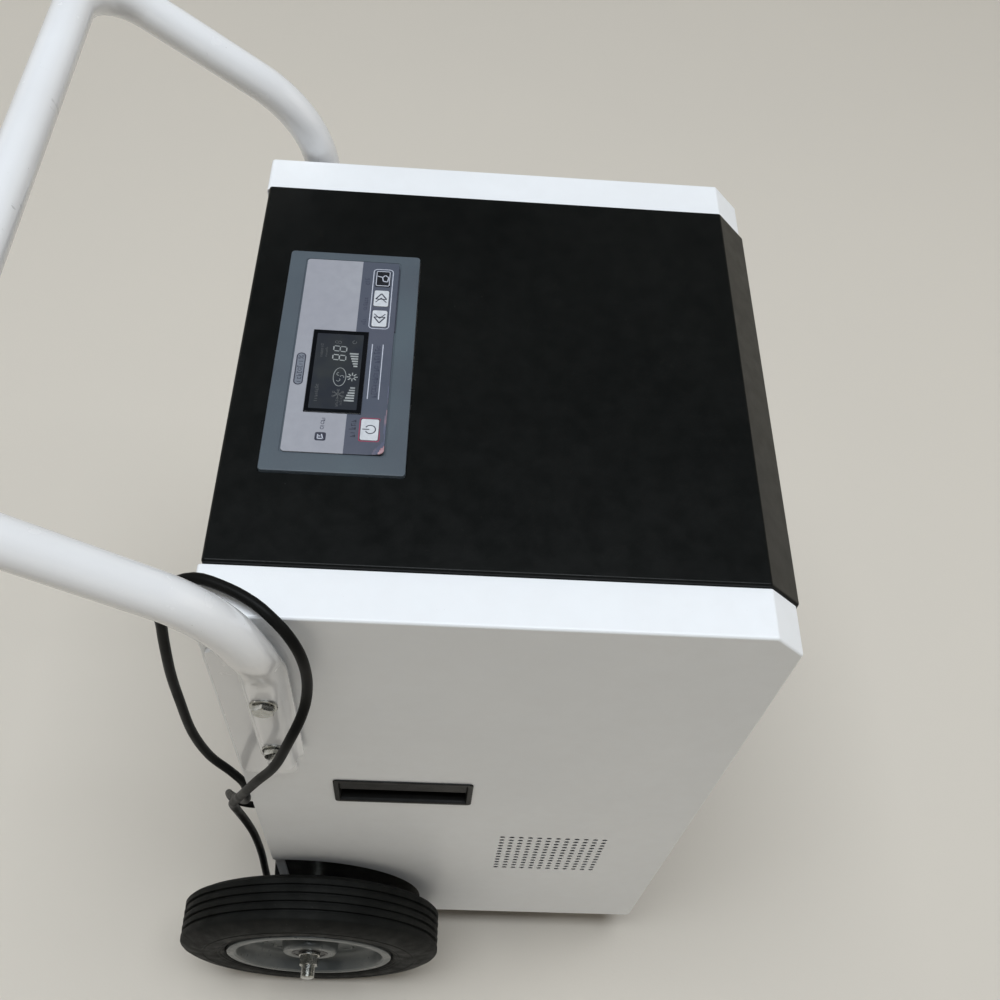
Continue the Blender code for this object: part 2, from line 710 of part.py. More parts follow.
TYRE_HALF = [(0.0980, 0.0240), (0.1080, 0.0300), (0.1240, 0.0312), (0.1400, 0.0285), (0.1495, 0.0245), (WHEEL_R, 0.0200)]
RIM_PROFILE = [
    (0.0220, 0.0255),
    (0.0300, 0.0255),
    (0.0322, 0.0225),
    (0.0340, 0.0080),
    (0.0770, 0.0100),
    (0.0860, 0.0260),
    (0.0880, 0.0305),
    (0.0955, 0.0305),
    (0.0977, 0.0285),
    (0.0977, -0.0285),
    (0.0955, -0.0305),
    (0.0880, -0.0305),
    (0.0860, -0.0260),
    (0.0770, 0.0060),
    (0.0340, 0.0040),
    (0.0322, -0.0225),
    (0.0300, -0.0255),
    (0.0220, -0.0255),
]


def road_wheel(name, side):
    turn = "+X" if side > 0 else "-X"
    hub = (side * WHEEL_X, WHEEL_Y, WHEEL_R)
    tyre = TYRE_HALF + [(r, -z) for r, z in reversed(TYRE_HALF)]
    turned(f"{name}_tyre", tyre, hub, turn, RUBBER, True, 40)
    turned(f"{name}_wheel_rim", RIM_PROFILE, hub, turn, GREY_PAINT, True, 40)
    bore = AXLE_R + GAP
    bearing = [(bore, 0.0270), (0.0215, 0.0270), (0.0215, 0.0130), (bore, 0.0130)]
    turned(f"{name}_wheel_bearing", bearing, hub, turn, BLACK_PLASTIC, True, 24)
    end = (0, WHEEL_Y, WHEEL_R)
    washer = cylinder(f"{name}_axle_nut", 0.0150, (0.3148, 0.3175), end, turn, ZINC)
    nut = cylinder(f"{name}_nut_body", 0.0120, (0.3165, 0.3290), end, turn, None, 6, True)
    thread = cylinder(f"{name}_nut_thread", 0.0083, (0.30, 0.34), end, turn, sides=16)
    cut(join(washer, nut), thread)


def axle():
    half = [(0, AXLE_END_X), (0.0070, AXLE_END_X), (0.0080, AXLE_END_X - 0.001), (0.0080, 0.3145), (AXLE_R, 0.3145)]
    profile = half + [(r, -z) for r, z in reversed(half)]
    turned("axle", profile, (0, WHEEL_Y, WHEEL_R), "+X", ZINC, False, 24)


def axle_plate(name, side):
    """The black plate that closes the wheel arch and carries the axle."""
    x = span((0.2340, 0.2370), side)
    plate = box(f"{name}_axle_plate", (x[0], 0.040, BASE_TOP + 0.0005), (x[1], 0.2090, 0.300), BLACK_PAINT)
    hole = cylinder(
        f"{name}_axle_hole", AXLE_R + GAP, (-0.02, 0.02), (side * 0.2355, WHEEL_Y, WHEEL_R), "+X", sides=24
    )
    cut(plate, hole)


def caster(name, side):
    """A fixed plate with its kingpin, and a fork that swivels on it and holds a small wheel behind it."""
    x, y = side * CASTER_X, CASTER_Y
    plate = box(f"{name}_caster_plate", (x - 0.030, y - 0.025, 0.0727), (x + 0.030, y + 0.025, 0.0752), ZINC)
    kingpin = cylinder(f"{name}_kingpin", 0.0070, (0.0545, 0.0740), (x, y, 0), "+Z", sides=16)
    head = cylinder(f"{name}_kingpin_head", 0.0095, (0.0530, 0.0560), (x, y, 0), "+Z", sides=16)
    join(plate, kingpin, head)

    wheel_y = y + CASTER_TRAIL
    fork = box(f"{name}_caster_fork", (x - 0.0155, y - 0.016, 0.0600), (x + 0.0155, y + 0.032, 0.0630), ZINC)
    legs = []
    for leg, inner in (("a", -0.0155), ("b", 0.0125)):
        lo, hi = (x + inner, wheel_y - 0.012, 0.0150), (x + inner + 0.0030, wheel_y + 0.012, 0.0620)
        legs.append(box(f"{name}_leg_{leg}", lo, hi))
    bore = cylinder(f"{name}_king_bore", 0.0073, (0.055, 0.070), (x, y, 0), "+Z", sides=16)
    hub = (x, wheel_y, CASTER_R)
    pin_bore = cylinder(f"{name}_pin_bore", 0.0043, (-0.02, 0.02), hub, "+X", sides=16)
    cut(join(fork, *legs), bore, pin_bore)

    wheel = [(0.0043, 0.010), (0.0225, 0.010), (CASTER_R, 0.008)]
    wheel += [(r, -z) for r, z in reversed(wheel)]
    turned(f"{name}_caster_wheel", wheel, hub, "+X", RUBBER, True, 24)
    pin = [(0, 0.0178), (0.0058, 0.0178), (0.0058, 0.0158), (0.0040, 0.0158)]
    pin += [(r, -z) for r, z in reversed(pin)]
    turned(f"{name}_caster_pin", pin, hub, "+X", STEEL, False, 16)


# Inside


def refrigeration():
    compressor = [(0, 0.300), (0.040, 0.296), (0.064, 0.278), (0.070, 0.250), (0.070, 0.140), (0.062, 0.112)]
    compressor += [(0.050, 0.104), (0.050, 0.0785), (0, 0.0785)]
    turned("compressor", compressor, (-0.070, -0.020, 0), "+Z", BLACK_PAINT, False, 24)
    tray_y = (-0.195, -0.060)
    tray = box("drip_tray", (-0.175, tray_y[0], 0.330), (0.175, tray_y[1], 0.350), BLACK_PLASTIC)
    cut(tray, box("tray_hollow", (-0.173, tray_y[0] + 0.002, 0.332), (0.173, tray_y[1] - 0.002, 0.37)))
    box("evaporator", (-0.160, -0.185, 0.3325), (0.160, -0.145, 0.800), ALUMINIUM)
    box("condenser", (-0.160, -0.115, 0.3325), (0.160, -0.075, 0.800), ALUMINIUM)
    riser_x = -0.200
    pipe = [(-0.1405, -0.020, 0.220), (-0.185, -0.020, 0.220), (riser_x, -0.020, 0.235), (riser_x, -0.020, 0.580)]
    pipe += [(riser_x, -0.035, 0.600), (riser_x, -0.150, 0.600), (-0.188, -0.165, 0.600), (-0.1605, -0.165, 0.600)]
    tube("suction_pipe", pipe, 0.005, COPPER)
    drain = [(0.100, -0.120, 0.3297), (0.100, -0.120, 0.235), (0.103, -0.105, 0.205), (0.110, -0.070, DRAIN_Z)]
    drain += [(DRAIN_X, -0.020, DRAIN_Z), (DRAIN_X, 0.245, DRAIN_Z)]
    tube("drain_pipe", drain, DRAIN_R, BLACK_PLASTIC, 3)
    box("electrical_box", (0.100, 0.030, 0.0785), (0.180, 0.120, 0.175), BLACK_PLASTIC)


def fan():
    """A plate with a round opening and two bars that carry the motor, and a five-bladed fan on its shaft."""
    shroud = box("fan_shroud", (-0.200, SHROUD_Y[0], 0.360), (0.200, SHROUD_Y[1], 0.845), STEEL)
    centre = (0, 0, FAN_Z)
    opening = cylinder("shroud_opening", FAN_R + 0.005, (0.05, 0.09), centre, "+Y", sides=40)
    bars_y = (0.0600, 0.0705)
    across = box("motor_bar_across", (-0.145, bars_y[0], FAN_Z - 0.008), (0.145, bars_y[1], FAN_Z + 0.008))
    upright = box("motor_bar_upright", (-0.008, bars_y[0], FAN_Z - 0.145), (0.008, bars_y[1], FAN_Z + 0.145))
    bore = cylinder("shaft_bore", 0.0060, (0.05, 0.09), centre, "+Y", sides=16)
    cut(join(cut(shroud, opening), across, upright), bore)
    motor = [(0, 0.125), (0.005, 0.125), (0.005, 0.0595), (0.045, 0.0595), (0.045, 0.005), (0, 0.005)]
    turned("fan_motor", motor, centre, "+Y", STEEL, False, 24)
    wheel = cylinder("fan_wheel", 0.030, (0.086, 0.112), centre, "+Y", BLACK_PLASTIC)
    blades = []
    for number in range(5):
        bm = bmesh.new()
        blade = bmesh.ops.create_cube(bm, size=1)["verts"]
        bmesh.ops.scale(bm, vec=(FAN_R - 0.028, 0.050, 0.0020), verts=blade)
        bmesh.ops.rotate(bm, matrix=Matrix.Rotation(math.radians(28), 3, "X"), verts=blade)
        bmesh.ops.translate(bm, vec=(0.028 + (FAN_R - 0.028) / 2, 0, 0.099), verts=blade)
        bmesh.ops.rotate(bm, matrix=Matrix.Rotation(math.tau * number / 5, 3, "Z"), verts=blade)
        mesh = bpy.data.meshes.new(f"fan_blade_{number}")
        bm.to_mesh(mesh)
        bm.free()
        blades.append(add(f"fan_blade_{number}", mesh, None, centre, "+Y"))
    cut(join(wheel, *blades), cylinder("fan_bore", 0.0053, (0.05, 0.14), centre, "+Y", sides=16))


# Mains cord


def mains_cord():
    gland = [(0, 0.2525), (0.0058, 0.2525), (0.0078, 0.2275), (0.0112, 0.2265), (0.0112, 0.2205)]
    gland += [(0.0072, 0.2205), (0.0072, 0.2184), (0.0110, 0.2184), (0.0110, 0.2100), (0, 0.2100)]
    turned("cable_gland", gland, (GLAND_X, 0, GLAND_Z), "+Y", BLACK_PLASTIC, False, 16)
    straight_out, rest = CORD_ROUTE[:1], CORD_ROUTE[1:]
    tube("power_cord", straight_out + smooth_curve(rest, CORD_POINTS - 1), CORD_D / 2, PVC)
    inner_r, height = COIL_R - CORD_D, 0.0175
    ring = [(inner_r, height), (COIL_OUTER_R, height), (COIL_OUTER_R, GAP), (inner_r, GAP)]
    coil = turned("power_cord_coil", ring, (*COIL_CENTRE, 0), "+Z", PVC, True, 28)
    lead_y = COIL_CENTRE[1] + COIL_OUTER_R - CORD_D / 2
    lead = [(COIL_CENTRE[0], lead_y, 0.0128), (PLUG_X - 0.0011, lead_y, PLUG_R)]
    lead_out = add("coil_lead_out", mesh_of(tube("coil_lead_bar", lead, CORD_D / 2, PVC)))
    join(coil, lead_out)
    plug = [(0, 0.062), (0.0165, 0.062), (PLUG_R - GAP, 0.060), (PLUG_R - GAP, 0.034)]
    plug += [(0.0120, 0.028), (0.0080, 0.024), (0.0060, 0), (0, 0)]
    body = turned("power_plug", plug, (PLUG_X, lead_y, PLUG_R), "+X", PVC, False, 24)
    for pin, offset in (("a", -0.0095), ("b", 0.0095)):
        place = (PLUG_X, lead_y + offset, PLUG_R)
        join(body, cylinder(f"plug_pin_{pin}", 0.0024, (0.050, 0.081), place, "+X", sides=12))


base_chassis()
top_cover()
front_panel()
rear_panel()
grille("filter_grille", INTAKE_HALF_W, INTAKE_Z, INTAKE_Y, -1, 18)
grille("outlet_grille", OUTLET_HALF_W, OUTLET_Z, OUTLET_Y, 1, 12)
air_filter()
control_panel()
push_handle()
axle()
for side_name, side_sign in SIDES.items():
    side_panel(side_name, side_sign)
    recess_grip(side_name, side_sign)
    handle_bracket(side_name, side_sign)
    handle_bolts(side_name, side_sign)
    road_wheel(side_name, side_sign)
    axle_plate(side_name, side_sign)
    caster(side_name, side_sign)
refrigeration()
fan()
mains_cord()
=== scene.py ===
"""The looks of a wheeled commercial dehumidifier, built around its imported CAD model.

Metres. +Z is up, +Y points to the push handle at the rear, and +X is the machine's right side.
Lengths are measured from the middle of the cabinet's footprint. make() shifts each piece into the row frame.
"""

import math
import random

import bmesh
import bpy
from mathutils import Matrix, Vector


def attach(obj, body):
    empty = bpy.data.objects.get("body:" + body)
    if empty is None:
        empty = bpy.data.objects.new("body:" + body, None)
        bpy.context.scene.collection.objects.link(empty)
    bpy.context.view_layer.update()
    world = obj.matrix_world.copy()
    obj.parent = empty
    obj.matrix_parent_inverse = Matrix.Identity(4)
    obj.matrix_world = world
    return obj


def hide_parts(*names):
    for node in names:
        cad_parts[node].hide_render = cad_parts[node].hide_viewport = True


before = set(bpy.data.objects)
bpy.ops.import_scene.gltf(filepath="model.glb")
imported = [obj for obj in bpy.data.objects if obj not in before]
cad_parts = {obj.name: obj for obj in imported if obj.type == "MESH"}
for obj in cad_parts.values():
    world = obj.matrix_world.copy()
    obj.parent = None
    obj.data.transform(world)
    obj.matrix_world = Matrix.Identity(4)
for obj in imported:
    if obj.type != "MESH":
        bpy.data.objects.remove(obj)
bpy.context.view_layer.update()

CENTRE_SHIFT = -0.07375
SHIFT = Matrix.Translation((0, CENTRE_SHIFT, 0))
SIDES = {"left": -1, "right": 1}

# Cabinet
HALF_W, HALF_D, FLOOR_GAP, TOP = 0.240, 0.222, 0.075, 0.8756
CHAMFER, STRIP, SHEET = 0.025, 0.0416, 0.0015
COVER_HALF_W, COVER_TOP, COVER_FRONT, COVER_BACK = 0.198, 0.8796, -0.2245, 0.219
BASE_TOP = 0.110

# Control panel
BEZEL_X, BEZEL_Y = (-0.119, 0.114), (0.0775, 0.189)
OVERLAY_X, OVERLAY_Y = (-0.1012, 0.1040), (0.095, 0.1738)
WINDOW_X, WINDOW_Y = (-0.0630, 0.0233), (0.1153, 0.1606)
BEZEL_TOP = COVER_TOP + 0.0033
OVERLAY_TOP = BEZEL_TOP + 0.0008
KEY_TOP = OVERLAY_TOP + 0.0006
KEYS = {  # centre x, centre y, size along x, size along y
    "key_power": (-0.0774, 0.1075, 0.0205, 0.0140),
    "key_down": (0.0388, 0.1080, 0.0180, 0.0125),
    "key_up": (0.0616, 0.1080, 0.0180, 0.0125),
    "key_timer": (0.0844, 0.1080, 0.0180, 0.0125),
}

# Openings
INTAKE_HALF_W, INTAKE_Z, INTAKE_Y = 0.165, (0.360, 0.800), (-0.2275, -0.2065)
OUTLET_HALF_W, OUTLET_Z, OUTLET_Y = 0.150, (0.450, 0.750), (0.2060, 0.2225)
GRIP_Y, GRIP_Z, GRIP_DEPTH = (0.006, 0.139), (0.4955, 0.553), 0.035

# Push handle
TUBE_R, ARM_X, ARM_Y, ARM_END_Z = 0.016, 0.2607, 0.177, 0.635
ARM_BEND_Z, ARM_BEND_R, ARM_SLOPE = 0.839, 0.130, math.radians(36)
CROSSBAR_Y, CORNER_R = 0.359, 0.055
BOLT_Z = {"upper": 0.774, "lower": 0.683}

# Wheels
WHEEL_R, WHEEL_X, WHEEL_Y = 0.1525, 0.2873, 0.181
AXLE_END_X = 0.342
ARCH_R, ARCH_Y, ARCH_Z = 0.143, 0.196, 0.139
CASTER_X, CASTER_Y, CASTER_R, CASTER_TRAIL = 0.180, -0.165, 0.0245, 0.020
FAN_Z, FAN_R = 0.600, 0.130

# Mains cord
CORD_D = 0.0085
GLAND_X, GLAND_Z = -0.130, 0.135
COIL_X, COIL_Y = 0.070, 0.290
PLUG_X, PLUG_Y, PLUG_Z = 0.1073, 0.33675, 0.0185
DRAIN_X, DRAIN_Z = 0.120, 0.190

CORD_ROUTE = [
    (-0.1300, 0.2528, 0.1350),
    (-0.1300, 0.2610, 0.1350),
    (-0.1308, 0.2762, 0.1378),
    (-0.1314, 0.2882, 0.1458),
    (-0.1318, 0.2962, 0.1578),
    (-0.1320, 0.2990, 0.1720),
    (-0.1400, 0.2945, 0.2090),
    (-0.1560, 0.2840, 0.2500),
    (-0.1760, 0.2690, 0.2990),
    (-0.1960, 0.2530, 0.3520),
    (-0.2120, 0.2405, 0.4020),
    (-0.2230, 0.2330, 0.4500),
    (-0.2280, 0.2293, 0.4985),
    (-0.2280, 0.2377, 0.5309),
    (-0.2270, 0.2527, 0.5697),
    (-0.2260, 0.2603, 0.6245),
    (-0.2250, 0.2603, 0.6935),
    (-0.2240, 0.2591, 0.7427),
    (-0.2225, 0.2553, 0.7944),
    (-0.2210, 0.2525, 0.8254),
    (-0.2185, 0.2525, 0.8500),
    (-0.2165, 0.2420, 0.8715),
    (-0.2155, 0.2198, 0.8845),
    (-0.2238, 0.1954, 0.8870),
    (-0.2335, 0.1763, 0.8860),
    (-0.2424, 0.1636, 0.8826),
    (-0.2493, 0.1520, 0.8690),
    (-0.2534, 0.1445, 0.8450),
    (-0.2544, 0.1425, 0.8120),
    (-0.2575, 0.1443, 0.7832),
    (-0.2650, 0.1488, 0.7632),
    (-0.2745, 0.1590, 0.7370),
    (-0.2785, 0.1750, 0.6889),
    (-0.2755, 0.1946, 0.6429),
    (-0.2660, 0.2157, 0.5799),
    (-0.2545, 0.2320, 0.5230),
    (-0.2450, 0.2392, 0.4850),
    (-0.2372, 0.2405, 0.4400),
    (-0.2330, 0.2380, 0.3900),
    (-0.2312, 0.2358, 0.3400),
    (-0.2306, 0.2360, 0.2700),
    (-0.2308, 0.2388, 0.2000),
    (-0.2308, 0.2408, 0.1400),
    (-0.2304, 0.2418, 0.0900),
    (-0.2272, 0.2424, 0.0331),
    (-0.2188, 0.2435, 0.0190),
    (-0.2043, 0.2456, 0.0085),
    (-0.1868, 0.2480, 0.0048),
    (-0.1600, 0.2500, 0.0048),
    (-0.1250, 0.2540, 0.0048),
    (-0.0920, 0.2640, 0.0048),
    (-0.0620, 0.2790, 0.0048),
    (-0.0330, 0.2960, 0.0048),
    (-0.0040, 0.3125, 0.0048),
    (0.0220, 0.3255, 0.0048),
]


# Materials


class Look:
    """A node-based material, built from a few kinds of detail in the piece's own coordinates."""

    def __init__(self, name, colour, roughness, metallic=0.0, coat=0.0, coat_roughness=0.05, specular=0.5):
        self.material = bpy.data.materials.new(name)
        self.material.use_nodes = True
        self.tree = self.material.node_tree
        self.surface = self.tree.nodes["Principled BSDF"]
        self.place = self.tree.nodes.new("ShaderNodeTexCoord").outputs["Object"]
        self.colour, self.roughness = colour, roughness
        self.surface.inputs["Base Color"].default_value = (*colour, 1)
        self.surface.inputs["Roughness"].default_value = roughness
        self.surface.inputs["Metallic"].default_value = metallic
        self.surface.inputs["Coat Weight"].default_value = coat
        self.surface.inputs["Coat Roughness"].default_value = coat_roughness
        self.surface.inputs["Specular IOR Level"].default_value = specular
        self.shade = None
        self.normal = None

    def stretched(self, scale):
        mapping = self.tree.nodes.new("ShaderNodeMapping")
        mapping.inputs["Scale"].default_value = scale
        self.tree.links.new(self.place, mapping.inputs["Vector"])
        return mapping.outputs["Vector"]

    def noise(self, scale, detail=3.0, stretch=None, rough=0.5):
        node = self.tree.nodes.new("ShaderNodeTexNoise")
        node.inputs["Scale"].default_value = scale
        node.inputs["Detail"].default_value = detail
        node.inputs["Roughness"].default_value = rough
        self.tree.links.new(self.stretched(stretch) if stretch else self.place, node.inputs["Vector"])
        return node.outputs["Fac"]

    def ranged(self, value, low, high, to_low=0.0, to_high=1.0):
        node = self.tree.nodes.new("ShaderNodeMapRange")
        self.tree.links.new(value, node.inputs["Value"])
        for name, number in zip(("From Min", "From Max", "To Min", "To Max"), (low, high, to_low, to_high)):
            node.inputs[name].default_value = number
        return node.outputs["Result"]

    def times(self, a, b):
        node = self.tree.nodes.new("ShaderNodeMath")
        node.operation = "MULTIPLY"
        for socket, value in zip(node.inputs, (a, b)):
            if isinstance(value, float):
                socket.default_value = value
            else:
                self.tree.links.new(value, socket)
        return node.outputs["Value"]

    def blend(self, amount, colour):
        """Moves the colour towards another by an amount that varies over the surface."""
        node = self.tree.nodes.new("ShaderNodeMix")
        node.data_type = "RGBA"
        self.tree.links.new(amount, node.inputs[0])
        if self.shade is None:
            node.inputs[6].default_value = (*self.colour, 1)
        else:
            self.tree.links.new(self.shade, node.inputs[6])
        node.inputs[7].default_value = (*colour, 1)
        self.shade = node.outputs[2]
        self.tree.links.new(self.shade, self.surface.inputs["Base Color"])
        return self

    def mottle(self, scale, other, amount=1.0, low=0.35, high=0.65, detail=3.0, stretch=None):
        return self.blend(self.ranged(self.noise(scale, detail, stretch), low, high, 0.0, amount), other)

    def polish(self, scale, spread, stretch=None):
        """Varies the roughness by a spread either way."""
        low, high = max(self.roughness - spread, 0.02), min(self.roughness + spread, 1.0)
        value = self.ranged(self.noise(scale, 4.0, stretch), 0.3, 0.7, low, high)
        self.tree.links.new(value, self.surface.inputs["Roughness"])
        return self

    def bump(self, height, depth, strength=1.0):
        node = self.tree.nodes.new("ShaderNodeBump")
        node.inputs["Strength"].default_value = strength
        node.inputs["Distance"].default_value = depth
        self.tree.links.new(height, node.inputs["Height"])
        if self.normal is not None:
            self.tree.links.new(self.normal, node.inputs["Normal"])
        self.normal = node.outputs["Normal"]
        self.tree.links.new(self.normal, self.surface.inputs["Normal"])
        return self

    def grain(self, scale, depth, detail=2.0, stretch=None):
        return self.bump(self.noise(scale, detail, stretch), depth)

    def specks(self, scale, colour, size=0.12, amount=0.8):
        """Small scattered spots."""
        node = self.tree.nodes.new("ShaderNodeTexVoronoi")
        node.inputs["Scale"].default_value = scale
        self.tree.links.new(self.place, node.inputs["Vector"])
        near = self.ranged(node.outputs["Distance"], size * 0.6, size, 1.0, 0.0)
        some = self.ranged(self.noise(scale * 0.37, 1.0), 0.58, 0.62)
        return self.blend(self.times(self.times(near, some), amount), colour)

    def scuffs(self, scale, colour, amount=0.6, stretch=(1.0, 1.0, 0.15), edge=0.66):
        """A few long rubbed marks."""
        streak = self.ranged(self.noise(scale, 6.0, stretch, 0.62), edge, edge + 0.035)
        patch = self.ranged(self.noise(scale * 0.09, 1.0), 0.50, 0.62)
        return self.blend(self.times(self.times(streak, patch), amount), colour)

    def dust(self, colour, amount=0.25, scale=14.0):
        """A thin film on faces that look up, in soft patches."""
        geometry = self.tree.nodes.new("ShaderNodeNewGeometry")
        parts = self.tree.nodes.new("ShaderNodeSeparateXYZ")
        self.tree.links.new(geometry.outputs["Normal"], parts.inputs["Vector"])
        up = self.ranged(parts.outputs["Z"], 0.2, 0.95)
        return self.blend(
            self.times(self.times(up, self.ranged(self.noise(scale, 5.0), 0.3, 0.75)), amount), colour
        )


def build_looks():
    looks = {}

    def new(name, *args, **more):
        looks[name] = Look(name, *args, **more)
        return looks[name]

    paint = new("white_powder_coat", (0.80, 0.815, 0.835), 0.40)
    paint.mottle(5.0, (0.77, 0.785, 0.805)).mottle(60.0, (0.745, 0.75, 0.76), 0.25)
    paint.specks(
        220.0, (0.45, 0.43, 0.40), 0.07, 0.35
    ).polish(90.0, 0.05).grain(900.0, 0.00006).grain(160.0, 0.00004)
    gloss = new("white_gloss_enamel", (0.80, 0.81, 0.83), 0.22, coat=0.5)
    gloss.mottle(9.0, (0.76, 0.765, 0.78)).scuffs(55.0, (0.30, 0.29, 0.28), 0.55)
    gloss.specks(130.0, (0.25, 0.24, 0.22), 0.06, 0.5).polish(40.0, 0.06).grain(420.0, 0.00004)
    black = new("black_satin_paint", (0.0033, 0.0038, 0.0037), 0.34, specular=0.105)
    black.mottle(4.0, (0.0050, 0.0055, 0.0052)).dust((0.04, 0.04, 0.038), 0.03)
    black.specks(
        95.0, (0.14, 0.14, 0.13), 0.035, 0.35
    ).polish(70.0, 0.06).grain(1100.0, 0.00007).grain(210.0, 0.00003)
    # The cover's chamfer faces take this lighter, warmer black: painted reflection on the same black paint as
    # the top.
    edge = new("black_paint_painted_reflection", (0.017, 0.0165, 0.0145), 0.38, specular=0.16)
    edge.mottle(6.0, (0.022, 0.0205, 0.0165)).polish(70.0, 0.05).grain(1100.0, 0.00006)
    plastic = new("black_moulded_plastic", (0.0065, 0.0065, 0.0068), 0.46, specular=0.22)
    plastic.mottle(25.0, (0.0105, 0.0105, 0.0105)).polish(60.0, 0.07).grain(1600.0, 0.00012)
    grip = new("grip_plastic", (0.0052, 0.0050, 0.0046), 0.40, specular=0.12)
    grip.mottle(40.0, (0.0110, 0.0108, 0.0100)).polish(60.0, 0.06).grain(1400.0, 0.00010)
    slate = new("slate_plastic", (0.083, 0.106, 0.124), 0.48, specular=0.22)
    slate.mottle(18.0, (0.084, 0.103, 0.120)).mottle(9.0, (0.070, 0.083, 0.102), 0.8).polish(50.0, 0.06)
    slate.grain(1500.0, 0.00010)
    light = new("overlay_light", (0.325, 0.332, 0.365), 0.36, specular=0.3)
    light.mottle(16.0, (0.305, 0.308, 0.345)).mottle(120.0, (0.268, 0.275, 0.306), 0.4).polish(60.0, 0.05)
    light.grain(1900.0, 0.00003)
    dark = new("overlay_dark", (0.073, 0.084, 0.112), 0.38, specular=0.3)
    dark.mottle(22.0, (0.084, 0.091, 0.120)).polish(60.0, 0.06).grain(1900.0, 0.00003)
    # The lifted film edge gets a lighter, pinkish-mottled blue: painted sheen. The curled tip gets a pinkish
    # white with darker red mottle: a painted highlight.
    painted_edge_sheen = new("overlay_lifted_edge_painted_sheen", (0.105, 0.115, 0.165), 0.30, coat=0.3)
    painted_edge_sheen.mottle(75.0, (0.30, 0.20, 0.22), 0.7, 0.45, 0.62).polish(60.0, 0.06).grain(700.0, 0.00004)
    painted_tip_highlight = new("overlay_curled_tip_painted_highlight", (0.46, 0.30, 0.33), 0.28, coat=0.4)
    painted_tip_highlight.mottle(110.0, (0.20, 0.06, 0.09), 0.9).grain(700.0, 0.00004)
    new("print_white", (0.50, 0.52, 0.60), 0.40).mottle(300.0, (0.42, 0.44, 0.50)).grain(1500.0, 0.00002)
    new("print_dark", (0.022, 0.024, 0.040), 0.40).mottle(300.0, (0.040, 0.042, 0.062)).grain(1500.0, 0.00002)
    new("print_soft", (0.026, 0.030, 0.056), 0.40).mottle(300.0, (0.036, 0.041, 0.070)).grain(1500.0, 0.00002)
    new("print_grey", (0.150, 0.165, 0.200), 0.40).mottle(300.0, (0.170, 0.185, 0.220)).grain(1500.0, 0.00002)
    new("print_red", (0.34, 0.035, 0.075), 0.40).mottle(300.0, (0.26, 0.05, 0.09)).grain(1500.0, 0.00002)
    key = new("key_light", (0.58, 0.60, 0.63), 0.34)
    key.mottle(220.0, (0.50, 0.52, 0.55)).polish(90.0, 0.05).grain(1500.0, 0.00003)
    new("key_dark", (0.010, 0.011, 0.014), 0.30).mottle(200.0, (0.018, 0.019, 0.024)).grain(1500.0, 0.00002)
    glass = new("display_glass", (0.0022, 0.0028, 0.0040), 0.10, coat=0.6, coat_roughness=0.03)
    glass.mottle(40.0, (0.0050, 0.0055, 0.0070)).polish(120.0, 0.03).specks(
        400.0, (0.10, 0.10, 0.10), 0.05, 0.4
    )
    lcd = new("display_field", (0.026, 0.030, 0.038), 0.20, coat=0.5, coat_roughness=0.06)
    lcd.mottle(55.0, (0.036, 0.040, 0.042)).mottle(14.0, (0.020, 0.022, 0.032), 0.8).polish(150.0, 0.05)
    segment = new("display_segment", (0.34, 0.36, 0.36), 0.45)
    segment.mottle(160.0, (0.22, 0.235, 0.24)).grain(2500.0, 0.00002)
    faint = new("display_faint", (0.060, 0.064, 0.068), 0.45)
    faint.mottle(500.0, (0.11, 0.115, 0.12), 0.9).grain(2500.0, 0.00002)
    rubber = new("tyre_rubber", (0.0056, 0.0060, 0.0055), 0.60, specular=0.08)
    rubber.mottle(30.0, (0.0095, 0.0100, 0.0092)).specks(260.0, (0.30, 0.30, 0.28), 0.065, 0.75)
    rubber.dust(
        (0.03, 0.03, 0.027), 0.05, 30.0
    ).polish(70.0, 0.10).grain(1300.0, 0.00018).grain(240.0, 0.00010)
    hard = new("caster_rubber", (0.020, 0.020, 0.021), 0.55)
    hard.mottle(50.0, (0.035, 0.034, 0.032)).specks(300.0, (0.2, 0.2, 0.19), 0.06, 0.5).grain(1300.0, 0.00012)
    rim = new("rim_grey_enamel", (0.090, 0.099, 0.100), 0.34, metallic=0.25)
    rim.mottle(35.0, (0.116, 0.124, 0.124)).specks(190.0, (0.40, 0.40, 0.38), 0.06, 0.6)
    rim.specks(120.0, (0.03, 0.03, 0.03), 0.06, 0.5).polish(80.0, 0.09).grain(700.0, 0.00008)
    seal = new("bearing_seal", (0.006, 0.006, 0.0065), 0.36, specular=0.25)
    seal.mottle(160.0, (0.014, 0.014, 0.014)).polish(150.0, 0.08).grain(1500.0, 0.00008)
    zinc = new("zinc_plate", (0.47, 0.475, 0.46), 0.24, metallic=1.0)
    zinc.mottle(110.0, (0.37, 0.37, 0.34)).specks(420.0, (0.30, 0.28, 0.24), 0.08, 0.5).polish(180.0, 0.09)
    zinc.grain(1400.0, 0.00006, 2.0, (1.0, 1.0, 0.3))
    steel = new("raw_steel", (0.36, 0.36, 0.36), 0.36, metallic=1.0)
    steel.mottle(70.0, (0.28, 0.28, 0.28)).polish(120.0, 0.08).grain(900.0, 0.00005, 2.0, (1.0, 0.2, 1.0))
    sheet = new("galvanised_sheet", (0.50, 0.51, 0.51), 0.40, metallic=1.0)
    sheet.mottle(45.0, (0.40, 0.41, 0.42), 1.0, 0.42, 0.56).polish(60.0, 0.10).grain(500.0, 0.00005)
    fins = new("aluminium_fins", (0.62, 0.63, 0.63), 0.42, metallic=1.0)
    fins.mottle(120.0, (0.50, 0.51, 0.50)).polish(140.0, 0.10).grain(900.0, 0.00005)
    copper = new("copper_tube", (0.60, 0.27, 0.15), 0.30, metallic=1.0)
    copper.mottle(80.0, (0.36, 0.15, 0.09)).polish(100.0, 0.10).grain(700.0, 0.00005)
    pipe = new("drain_plastic", (0.016, 0.016, 0.017), 0.40)
    pipe.mottle(60.0, (0.024, 0.024, 0.024)).polish(60.0, 0.08).grain(1200.0, 0.00010)
    board = new("circuit_board", (0.012, 0.095, 0.040), 0.40)
